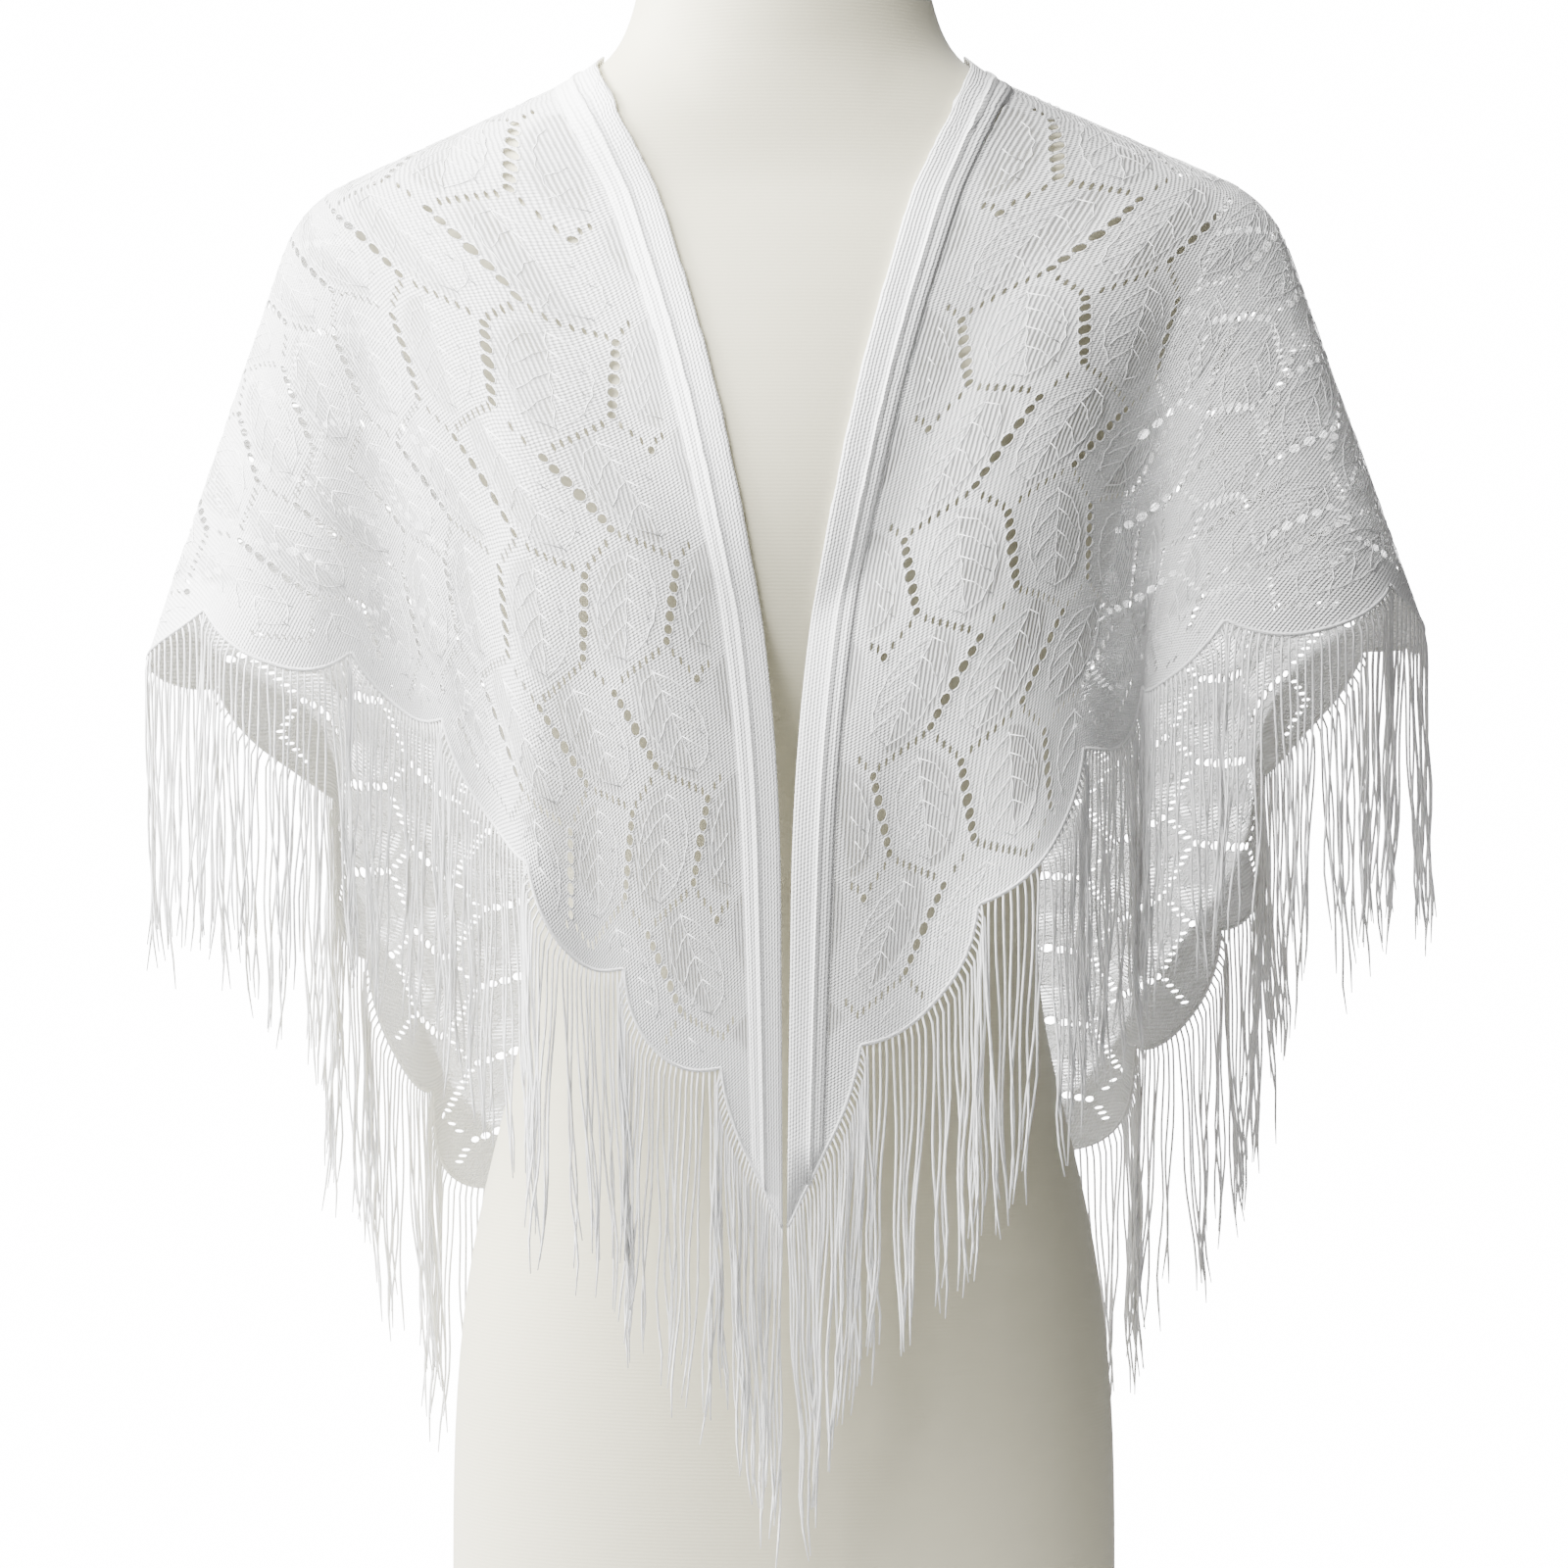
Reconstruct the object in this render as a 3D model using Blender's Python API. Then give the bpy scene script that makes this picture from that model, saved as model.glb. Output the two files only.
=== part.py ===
"""A fringed triangular lace scarf worn over the shoulders of a limbless dress form.

Units are metres and +Z is up. The front faces -Y, and the origin is the middle of the form's flat base.
The scarf is drawn flat first, as it is cut: `along` runs down the long edge from the centre back,
negative to the viewer's left, and `deep` runs across the cloth from the long edge to the fringed hem.
"""
import math
from collections import namedtuple

import bmesh
import bpy
import numpy as np
from mathutils import Vector
from mathutils.bvhtree import BVHTree
from mathutils.geometry import delaunay_2d_cdt

# Cut of the scarf
NECK_RUN = 0.14
FRONT_RUN = 0.57
NOTCH_RUN = 0.526
HEM_SLOPE = 0.9
FIRST_NOTCH = 0.033
SCALLOPS = 12
SCALLOP_DEPTH = 0.016
SCALLOP_POWER = 2.3
SCALLOP_SHARES = (0.0, 0.2, 0.5, 0.8)
BAND_WIDTH = 0.018
SEAM_GAP = 0.0004
TIP_SLANT = 0.034
TIP_BULGE = 0.003
TIP_STEPS = 3

# Walls
LACE_WALL = 0.0012
BAND_WALL = 0.0016
RIB_HEIGHT = 0.0009
CLEAR_OF_FORM = 0.0022
NECK_STOPS = 11
SHOULDER_STOPS = 10
GRID = 0.027
SHOULDER_GRID = 0.0165
SHOULDER_REACH = 0.125
SETTLE_ROUNDS = 6
LEAST_ROOM = 0.0006
GRID_TO_EDGE = 0.42
GRID_TO_HOLE = 0.45

# Drape
NORMAL_STEP = 0.004
NORMAL_FROM = 0.006
MOST_ROUNDING = 0.8
FOLD_FRONT_WEIGHT = 1.6
FOLD_FULL = 1.2

# Openwork: one chain of ovals a leaf, of which the solid has the largest
ROW_PITCH = 0.053
COLUMN_PITCH = 0.034
EVEN_ROW_PHASE = 0.55
ODD_ROW_PHASE = 0.21
OVAL_LENGTH = 0.0066
OVAL_WIDTH = 0.0043
OVAL_SIDES = 6
EDGE_MARGIN = 0.012

# Fringe
STRANDS_A_SIDE = 70
STRIP_GAP = 0.0005
STRIP_HEIGHT = 0.0018
CENTRE_BACK_GAP = 0.0006
STRIP_WALL = 0.0014
STRAND_WIDTH = 0.0018
STRAND_LENGTH = 0.140
BACK_STRAND_LENGTH = 0.124
STRAND_VARIATION = 0.010
STRAND_SWAY = 0.0025
LENGTH_STEP = 2.3
SWAY_STEP = 0.45
ROOT_DROP = 0.005
ROOT_ROOM = 1.6

FORM_SIDES = 40

# The form stands a little forward, which brings the middle of the whole part over the origin
STAND = (0.0, -0.0093, 0.0)

# Neck points, where the long edge crosses from the nape to the chest
NECK_POINT = (0.081, 0.0, 0.800)
NAPE_POINT = (0.0, 0.082, 0.782)
CENTRE_BACK_TURN = 130.0

FormRing = namedtuple("FormRing", "height half_width front back squareness")
FORM_RINGS = [
    FormRing(0.000, 0.154, 0.094, 0.112, 2.3),
    FormRing(0.080, 0.155, 0.097, 0.117, 2.3),
    FormRing(0.164, 0.155, 0.098, 0.118, 2.3),
    FormRing(0.233, 0.149, 0.097, 0.112, 2.25),
    FormRing(0.290, 0.137, 0.093, 0.100, 2.2),
    FormRing(0.345, 0.122, 0.087, 0.086, 2.2),
    FormRing(0.394, 0.117, 0.084, 0.080, 2.2),
    FormRing(0.440, 0.122, 0.090, 0.083, 2.2),
    FormRing(0.500, 0.138, 0.106, 0.092, 2.2),
    FormRing(0.560, 0.151, 0.121, 0.099, 2.2),
    FormRing(0.610, 0.161, 0.118, 0.103, 2.15),
    FormRing(0.660, 0.176, 0.102, 0.104, 2.1),
    FormRing(0.700, 0.194, 0.084, 0.100, 2.0),
    FormRing(0.725, 0.204, 0.070, 0.094, 2.0),
    FormRing(0.736, 0.203, 0.064, 0.090, 2.0),
    FormRing(0.744, 0.192, 0.061, 0.087, 2.0),
    FormRing(0.757, 0.163, 0.058, 0.084, 2.0),
    FormRing(0.773, 0.129, 0.056, 0.080, 2.0),
    FormRing(0.789, 0.098, 0.054, 0.075, 2.0),
    FormRing(0.802, 0.080, 0.053, 0.070, 2.0),
    FormRing(0.818, 0.072, 0.053, 0.063, 2.0),
    FormRing(0.840, 0.067, 0.053, 0.058, 2.0),
    FormRing(0.857, 0.065, 0.051, 0.056, 2.0),
    FormRing(0.862, 0.060, 0.046, 0.051, 2.0),
]

# Drape of each side, a row for each fall of the cloth. The turn is the angle at the neck point from the
# front edge, 90 at the back of the neck point and 130 at the centre back. The bend is where the fall
# leaves the shoulder or bust, the notch is where it meets the line of the hem's notches.
Fall = namedtuple("Fall", "turn bend_x bend_y bend_z rounding notch_x notch_y notch_z")
LEFT_FALLS = [
    Fall(0.0, 0.002, -0.130, 0.560, 0.150, 0.0008, -0.126, 0.312),
    Fall(9.8, 0.062, -0.128, 0.600, 0.100, 0.067, -0.129, 0.379),
    Fall(17.7, 0.112, -0.106, 0.650, 0.070, 0.110, -0.130, 0.424),
    Fall(22.0, 0.137, -0.089, 0.680, 0.056, 0.130, -0.106, 0.462),
    Fall(27.1, 0.160, -0.070, 0.703, 0.045, 0.150, -0.098, 0.490),
    Fall(35.0, 0.192, -0.044, 0.724, 0.034, 0.179, -0.084, 0.517),
    Fall(42.0, 0.212, -0.026, 0.731, 0.028, 0.212, -0.096, 0.528),
    Fall(49.2, 0.224, -0.008, 0.733, 0.025, 0.256, -0.078, 0.542),
    Fall(54.5, 0.227, 0.006, 0.733, 0.025, 0.289, -0.022, 0.538),
    Fall(60.6, 0.224, 0.022, 0.731, 0.026, 0.276, 0.040, 0.512),
    Fall(71.0, 0.204, 0.048, 0.725, 0.030, 0.221, 0.088, 0.460),
    Fall(80.1, 0.180, 0.066, 0.718, 0.034, 0.206, 0.112, 0.380),
    Fall(90.0, 0.150, 0.080, 0.711, 0.040, 0.170, 0.134, 0.300),
    Fall(110.0, 0.076, 0.100, 0.698, 0.050, 0.092, 0.144, 0.238),
    Fall(130.0, 0.000, 0.105, 0.690, 0.060, 0.000, 0.146, 0.174),
]
RIGHT_FALLS = [
    Fall(0.0, 0.005, -0.130, 0.560, 0.150, 0.0018, -0.126, 0.312),
    Fall(9.8, 0.068, -0.128, 0.606, 0.100, 0.080, -0.129, 0.405),
    Fall(17.7, 0.118, -0.104, 0.655, 0.070, 0.129, -0.118, 0.476),
    Fall(27.1, 0.163, -0.068, 0.706, 0.045, 0.161, -0.076, 0.506),
    Fall(36.0, 0.196, -0.040, 0.727, 0.034, 0.184, -0.096, 0.532),
    Fall(43.0, 0.215, -0.022, 0.733, 0.028, 0.228, -0.092, 0.545),
    Fall(49.2, 0.226, -0.008, 0.735, 0.025, 0.272, -0.064, 0.554),
    Fall(54.5, 0.228, 0.006, 0.735, 0.025, 0.292, -0.012, 0.550),
    Fall(60.6, 0.225, 0.022, 0.733, 0.026, 0.284, 0.044, 0.530),
    Fall(71.0, 0.205, 0.048, 0.727, 0.030, 0.232, 0.090, 0.470),
    Fall(80.1, 0.181, 0.066, 0.720, 0.034, 0.214, 0.112, 0.394),
    Fall(90.0, 0.150, 0.080, 0.711, 0.040, 0.170, 0.134, 0.322),
    Fall(110.0, 0.076, 0.100, 0.698, 0.050, 0.092, 0.144, 0.248),
    Fall(130.0, 0.000, 0.105, 0.690, 0.060, 0.000, 0.146, 0.174),
]

# Soft folds: a ridge has a positive depth and a trough a negative one. Each grows from `starts`, a share
# of the way from the neck point to the hem.
Fold = namedtuple("Fold", "turn half_turn depth starts")
LEFT_FOLDS = [
    Fold(14.0, 3.4, -0.006, 0.45),
    Fold(46.0, 4.0, 0.004, 0.45),
    Fold(66.0, 4.5, -0.014, 0.45),
    Fold(75.5, 4.5, 0.006, 0.50),
    Fold(85.0, 4.5, -0.012, 0.45),
    Fold(101.0, 7.0, 0.008, 0.55),
    Fold(116.0, 7.0, -0.008, 0.50),
]
RIGHT_FOLDS = [
    Fold(7.0, 2.6, -0.005, 0.55),
    Fold(13.5, 3.0, 0.006, 0.50),
    Fold(31.5, 3.4, -0.006, 0.40),
    Fold(65.0, 4.5, -0.014, 0.45),
    Fold(76.0, 4.5, 0.010, 0.50),
    Fold(86.0, 4.5, -0.012, 0.50),
    Fold(103.0, 7.0, 0.008, 0.50),
    Fold(119.0, 7.0, -0.007, 0.55),
]


def clear_scene():
    """Remove every object of the open file."""
    for obj in list(bpy.data.objects):
        bpy.data.objects.remove(obj, do_unlink=True)


def make_material(name, colour, roughness):
    """A plain Principled material."""
    material = bpy.data.materials.new(name)
    material.use_nodes = True
    shader = material.node_tree.nodes["Principled BSDF"]
    shader.inputs["Base Color"].default_value = (*colour, 1.0)
    shader.inputs["Roughness"].default_value = roughness
    shader.inputs["Metallic"].default_value = 0.0
    return material


def make_object(name, points, faces, material):
    """One closed mesh object, its faces turned outward."""
    mesh = bpy.data.meshes.new(name)
    mesh.from_pydata([tuple(point) for point in points], [], faces)
    work = bmesh.new()
    work.from_mesh(mesh)
    bmesh.ops.triangulate(work, faces=work.faces[:])
    bmesh.ops.recalc_face_normals(work, faces=work.faces[:])
    work.to_mesh(mesh)
    work.free()
    mesh.materials.append(material)
    mesh.shade_smooth()
    obj = bpy.data.objects.new(name, mesh)
    obj.location = STAND
    bpy.context.collection.objects.link(obj)
    return obj


def smooth_rows(rows, at):
    """Columns of a table read at one place along a cubic; the first column is the place."""
    table = np.array(rows, dtype=float)
    places = table[:, 0]
    at = min(max(at, places[0]), places[-1])
    last = len(places) - 2
    low = min(int(np.searchsorted(places, at, side="right")) - 1, last)
    span = places[low + 1] - places[low]
    t = (at - places[low]) / span
    slopes = []
    for row in (low, low + 1):
        before = max(row - 1, 0)
        after = min(row + 1, len(places) - 1)
        slopes.append((table[after] - table[before]) / (places[after] - places[before]))
    start_weight = (1 + 2 * t) * (1 - t) ** 2
    end_weight = t * t * (3 - 2 * t)
    start_slope_weight = t * (1 - t) ** 2 * span
    end_slope_weight = t * t * (t - 1) * span
    return (start_weight * table[low] + end_weight * table[low + 1]
            + start_slope_weight * slopes[0] + end_slope_weight * slopes[1])


def form_ring(ring):
    """Points of one level of the form: a rounded oval with its own front and back depth."""
    points = []
    power = 2.0 / ring.squareness
    for side in range(FORM_SIDES):
        angle = 2 * math.pi * side / FORM_SIDES
        across = math.copysign(abs(math.cos(angle)) ** power, math.cos(angle))
        through = math.copysign(abs(math.sin(angle)) ** power, math.sin(angle))
        depth = ring.back if through > 0 else ring.front
        points.append((ring.half_width * across, depth * through, ring.height))
    return points


def loft(rings):
    """Points and faces of a closed body through rings of equal numbers of points, capped at each end."""
    size = len(rings[0])
    points = [point for ring in rings for point in ring]
    faces = []
    for row in range(len(rings) - 1):
        for side in range(size):
            following = (side + 1) % size
            low = row * size
            high = low + size
            faces.append((low + side, low + following, high + following, high + side))
    faces.append(tuple(reversed(range(size))))
    faces.append(tuple(range(len(points) - size, len(points))))
    return points, faces


def build_form(material):
    """The limbless form: hips, waist, bust, sloped shoulders and a plain closed neck."""
    points, faces = loft([form_ring(ring) for ring in FORM_RINGS])
    return make_object("dress_form", points, faces, material)


class Drape:
    """Carries flat points of the scarf to their place on the form."""

    def __init__(self, form):
        mesh = form.data
        corners = [vertex.co.copy() for vertex in mesh.vertices]
        self.form = BVHTree.FromPolygons(corners, [tuple(face.vertices) for face in mesh.polygons])

    def start_point(self, turn):
        """Where a fall leaves the long edge: the neck point, or a point of the arc round the nape."""
        share = 1.0 - max(turn - 90.0, 0.0) / (CENTRE_BACK_TURN - 90.0)
        angle = 0.5 * math.pi * share
        rise = NECK_POINT[2] - NAPE_POINT[2]
        return np.array([NECK_POINT[0] * math.sin(angle), NAPE_POINT[1] * math.cos(angle),
                         NAPE_POINT[2] + rise * share ** 2])

    def turn_and_reach(self, along, deep):
        """The turn of a flat point, its distance down its fall and the distance of the notch line there."""
        past_neck = along - NECK_RUN
        if past_neck < 0:
            turn = 90.0 - past_neck / NECK_RUN * (CENTRE_BACK_TURN - 90.0)
            return turn, deep, HEM_SLOPE * (NOTCH_RUN - past_neck)
        turn = math.degrees(math.atan2(deep, past_neck))
        radians = math.radians(turn)
        notch = HEM_SLOPE * NOTCH_RUN / (math.sin(radians) + HEM_SLOPE * math.cos(radians))
        return turn, math.hypot(deep, past_neck), notch

    def fall_point(self, falls, folds, along, deep):
        """A point of one side, with x outward."""
        turn, reach, notch_reach = self.turn_and_reach(along, deep)
        row = Fall(*smooth_rows(falls, turn))
        start = self.start_point(turn)
        bend = np.array([row.bend_x, row.bend_y, row.bend_z])
        notch = np.array([row.notch_x, row.notch_y, row.notch_z])
        first = float(np.linalg.norm(bend - start))
        second = float(np.linalg.norm(notch - bend))
        down = reach / notch_reach * (first + second)
        rounding = min(row.rounding, MOST_ROUNDING * first)
        first_way = (bend - start) / first
        second_way = (notch - bend) / second
        if down <= first - rounding:
            point = start + first_way * down
        elif down >= first + rounding:
            point = bend + second_way * (down - first)
        else:
            t = (down - first + rounding) / (2 * rounding)
            point = ((1 - t) ** 2 * (bend - first_way * rounding) + 2 * t * (1 - t) * bend
                     + t * t * (bend + second_way * rounding))
        share = reach / notch_reach
        outward = np.array([point[0], FOLD_FRONT_WEIGHT * point[1], 0.0])
        outward /= max(float(np.linalg.norm(outward)), 1e-6)
        for fold in folds:
            offset = (turn - fold.turn) / fold.half_turn
            grown = min(max((share - fold.starts) / (1.0 - fold.starts), 0.0), FOLD_FULL)
            point = point + outward * fold.depth * grown * math.exp(-offset * offset)
        return point

    def middle(self, along, deep):
        """The middle of the wall at a flat point, kept clear of the form."""
        left = along < 0
        side = self.fall_point(LEFT_FALLS if left else RIGHT_FALLS, LEFT_FOLDS if left else RIGHT_FOLDS,
                               abs(along), deep)
        point = Vector((-side[0] if left else side[0], side[1], side[2]))
        surface, normal, _, _ = self.form.find_nearest(point)
        room = CLEAR_OF_FORM + 0.5 * BAND_WALL
        if (point - surface).dot(normal) < room:
            point = surface + normal * room
        return point

    def normal(self, along, deep):
        """The way out of the cloth at a flat point."""
        base = max(deep, NORMAL_FROM)
        down = self.middle(along, base + NORMAL_STEP) - self.middle(along, base - NORMAL_STEP)
        across = self.middle(along + NORMAL_STEP, base) - self.middle(along - NORMAL_STEP, base)
        return across.cross(down).normalized()

    def settle(self, middles, triangles, room):
        """Ease a wall's points outward until the middles of its sides are clear of the form too."""
        for _ in range(SETTLE_ROUNDS):
            for triangle in triangles:
                for start, end in zip(triangle, triangle[1:] + triangle[:1]):
                    spot = (middles[start] + middles[end]) / 2
                    surface, normal, _, _ = self.form.find_nearest(spot)
                    short = room - (spot - surface).dot(normal)
                    if short > 0:
                        middles[start] = middles[start] + normal * short
                        middles[end] = middles[end] + normal * short

    def place(self, along, deep, lift):
        """A point of the cloth, lifted outward from the middle of its wall."""
        return self.middle(along, deep) + self.normal(along, deep) * lift


def scallop_bulge(share):
    """How far a scallop stands out at a share of the way between its notches."""
    return SCALLOP_DEPTH * (1.0 - abs(2.0 * share - 1.0) ** SCALLOP_POWER)


def hem_outline():
    """Flat hem of the right side, from beside the band at the front tip to the centre back."""
    start = NECK_RUN + FRONT_RUN - TIP_SLANT
    near_band = BAND_WIDTH + SEAM_GAP
    first_notch = NECK_RUN + NOTCH_RUN - FIRST_NOTCH / HEM_SLOPE
    outline = []
    for step in range(TIP_STEPS):
        share = step / TIP_STEPS
        bulge = 4.0 * TIP_BULGE * share * (1.0 - share)
        deep = near_band + (FIRST_NOTCH - near_band) * share + bulge
        outline.append((start + (first_notch - start) * share, deep))
    pitch = first_notch / SCALLOPS
    out = np.array([HEM_SLOPE, 1.0]) / math.hypot(HEM_SLOPE, 1.0)
    for scallop in range(SCALLOPS):
        for share in SCALLOP_SHARES:
            along = first_notch - pitch * (scallop + share)
            deep = FIRST_NOTCH + HEM_SLOPE * pitch * (scallop + share)
            moved = np.array([along, deep]) + out * scallop_bulge(share)
            outline.append((float(moved[0]), float(moved[1])))
    outline.append((0.0, FIRST_NOTCH + HEM_SLOPE * first_notch))
    return outline


def seam_stops():
    """Places along the long edge that the band and the lace share, on the right side."""
    end = NECK_RUN + FRONT_RUN - TIP_SLANT
    shoulder_end = NECK_RUN + SHOULDER_REACH
    count = math.ceil((end - shoulder_end) / GRID)
    stops = [NECK_RUN * stop / NECK_STOPS for stop in range(NECK_STOPS)]
    stops += [NECK_RUN + SHOULDER_REACH * stop / SHOULDER_STOPS for stop in range(SHOULDER_STOPS)]
    return stops + [shoulder_end + (end - shoulder_end) * stop / count for stop in range(count + 1)]


def mirrored(side_points):
    """The left copy of flat points, from the centre back outward to the tip."""
    return [(-along, deep) for along, deep in reversed(side_points)]


def lace_outline():
    """Flat outline of the lace: the seam from left to right, then the hem back to the left."""
    seam = [(along, BAND_WIDTH + SEAM_GAP) for along in seam_stops()]
    hem = hem_outline()
    right = seam[:-1] + hem
    return [(-along, deep) for along, deep in reversed(seam[1:-1])] + right + mirrored(hem)[1:]


def inside(polygon, points):
    """Which of an array of flat points lie inside a polygon."""
    result = np.zeros(len(points), dtype=bool)
    for (x0, y0), (x1, y1) in zip(polygon, polygon[1:] + polygon[:1]):
        if y0 == y1:
            continue
        crosses = (points[:, 1] > min(y0, y1)) & (points[:, 1] <= max(y0, y1))
        at = x0 + (points[:, 1] - y0) / (y1 - y0) * (x1 - x0)
        result ^= crosses & (points[:, 0] < at)
    return result


def distance_to(polygon, points):
    """Distance of each flat point to the nearest side of a polygon."""
    nearest = np.full(len(points), np.inf)
    for start, end in zip(polygon, polygon[1:] + polygon[:1]):
        start = np.array(start)
        way = np.array(end) - start
        share = np.clip((points - start) @ way / max(float(way @ way), 1e-12), 0.0, 1.0)
        nearest = np.minimum(nearest, np.linalg.norm(points - start - share[:, None] * way, axis=1))
    return nearest


def oval_centres(outline):
    """Centres of the largest ovals, the middle one of each chain between two leaves, on both sides."""
    centres = []
    columns = math.ceil((NECK_RUN + FRONT_RUN) / COLUMN_PITCH)
    for row in range(math.ceil((NECK_RUN + FRONT_RUN) / ROW_PITCH)):
        phase = ODD_ROW_PHASE if row % 2 else EVEN_ROW_PHASE
        for column in range(columns):
            deep = BAND_WIDTH + (column + phase) * COLUMN_PITCH
            centres.append((row * ROW_PITCH, deep))
            if row:
                centres.append((-row * ROW_PITCH, deep))
    centres = np.array(centres)
    keep = inside(outline, centres) & (distance_to(outline, centres) > EDGE_MARGIN)
    return centres[keep]


def oval(centre):
    """A hole, longer along the grain."""
    points = []
    for side in range(OVAL_SIDES):
        angle = 2 * math.pi * side / OVAL_SIDES
        along = centre[0] + 0.5 * OVAL_LENGTH * math.cos(angle)
        deep = centre[1] + 0.5 * OVAL_WIDTH * math.sin(angle)
        points.append((along, deep))
    return points


def stagger(pitch):
    """Flat points over the whole cut, in rows that are set half a pitch apart."""
    columns = np.arange(-NECK_RUN - FRONT_RUN, NECK_RUN + FRONT_RUN, pitch)
    rows = np.arange(BAND_WIDTH, NECK_RUN + FRONT_RUN, 0.9 * pitch)
    return np.array([(column + (0.5 * pitch if row % 2 else 0.0), deep)
                     for row, deep in enumerate(rows) for column in columns])


def lace_sheet():
    """Flat points and triangles of the lace, with its ovals left out."""
    outline = lace_outline()
    loops = [outline] + [oval(centre) for centre in oval_centres(outline)]
    points = []
    faces = []
    for loop in loops:
        faces.append(list(range(len(points), len(points) + len(loop))))
        points.extend(loop)
    holes = np.array([np.mean(loop, axis=0) for loop in loops[1:]])
    for pitch, on_shoulder in ((GRID, False), (SHOULDER_GRID, True)):
        grid = stagger(pitch)
        past_neck = np.maximum(np.abs(grid[:, 0]) - NECK_RUN, 0.0)
        grid = grid[(np.hypot(past_neck, grid[:, 1]) < SHOULDER_REACH) == on_shoulder]
        keep = inside(outline, grid) & (distance_to(outline, grid) > GRID_TO_EDGE * pitch)
        near = np.min(np.linalg.norm(grid[:, None, :] - holes[None, :, :], axis=2), axis=1)
        points.extend(tuple(point) for point in grid[keep & (near > GRID_TO_HOLE * pitch)])
    places = [Vector(point) for point in points]
    flat, _, triangles, _, _, owners = delaunay_2d_cdt(places, [], faces, 1, 1e-7)
    cloth = [tuple(triangle) for triangle, owner in zip(triangles, owners) if owner == [0]]
    return np.array([tuple(point) for point in flat]), cloth


def thicken(drape, flat, triangles, wall):
    """A closed wall over flat triangles: an outer and an inner skin joined round every free edge."""
    middles = [drape.middle(along, deep) for along, deep in flat]
    drape.settle(middles, triangles, 0.5 * wall + LEAST_ROOM)
    normals = [drape.normal(along, deep) for along, deep in flat]
    points = [middle + normal * 0.5 * wall for middle, normal in zip(middles, normals)]
    points += [middle - normal * 0.5 * wall for middle, normal in zip(middles, normals)]
    count = len(flat)
    faces = [tuple(triangle) for triangle in triangles]
    faces += [tuple(corner + count for corner in reversed(triangle)) for triangle in triangles]
    sides = {}
    for triangle in triangles:
        for start, end in zip(triangle, triangle[1:] + triangle[:1]):
            sides[(start, end)] = (end, start) not in sides
            if (end, start) in sides:
                sides[(end, start)] = False
                sides[(start, end)] = False
    for (start, end), free in sides.items():
        if free:
            faces.append((end, start, start + count, end + count))
    used = sorted({corner for face in faces for corner in face})
    number = {corner: place for place, corner in enumerate(used)}
    return [points[corner] for corner in used], [tuple(number[corner] for corner in face) for face in faces]


def build_lace(drape, material):
    """The lace wrap: both fronts, both shoulders and the pointed back in one cloth."""
    flat, triangles = lace_sheet()
    points, faces = thicken(drape, flat, triangles, LACE_WALL)
    return make_object("lace_wrap", points, faces, material)


def build_band(drape, material):
    """The plain heading along the whole long edge, with its raised rib."""
    half = 0.5 * BAND_WALL
    profile = [(0.0, half), (0.010, half), (0.0115, half + RIB_HEIGHT), (0.013, half), (BAND_WIDTH, half),
               (BAND_WIDTH, -half), (0.0, -half)]
    stops = seam_stops()
    stops = [-stop for stop in reversed(stops[1:])] + stops
    rings = []
    for stop in stops:
        ring = []
        for deep, lift in profile:
            slant = TIP_SLANT * (1.0 - deep / BAND_WIDTH) if abs(stop) == stops[-1] else 0.0
            ring.append(drape.place(stop + math.copysign(slant, stop), deep, lift))
        rings.append(ring)
    points, faces = loft(rings)
    return make_object("edge_band", points, faces, material)


def strip_corners(drape, side):
    """Two rows of places for the fringe's strip, near the cloth's edge and away from it, with normals.

    The strip starts at the point of the band's slanted end and follows the hem to the centre back.
    """
    outline = [(NECK_RUN + FRONT_RUN, 0.0)] + hem_outline()
    last = len(outline) - 1
    rows = []
    for number, (along, deep) in enumerate(outline):
        before = np.array(outline[max(number - 1, 0)])
        after = np.array(outline[min(number + 1, last)])
        way = (after - before) / np.linalg.norm(after - before)
        out = np.array([way[1], -way[0]])
        place = np.array([along, deep])
        if number == last:
            out = np.array([0.0, 1.0])
            place[0] += CENTRE_BACK_GAP
        near = place + out * STRIP_GAP
        far = place + out * (STRIP_GAP + STRIP_HEIGHT)
        rows.append((drape.middle(side * near[0], near[1]), drape.middle(side * far[0], far[1]),
                     drape.normal(side * place[0], place[1])))
    return rows


def strand_places(rows):
    """Roots spaced evenly as seen from above, as (segment, share) pairs."""
    runs = [0.0]
    for (_, start, _), (_, end, _) in zip(rows, rows[1:]):
        runs.append(runs[-1] + (end - start).to_2d().length)
    places = []
    for strand in range(STRANDS_A_SIDE):
        at = runs[-1] * (strand + 0.5) / STRANDS_A_SIDE
        segment = int(np.searchsorted(runs, at)) - 1
        share = (at - runs[segment]) / (runs[segment + 1] - runs[segment])
        places.append((segment, share))
    return places


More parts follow.
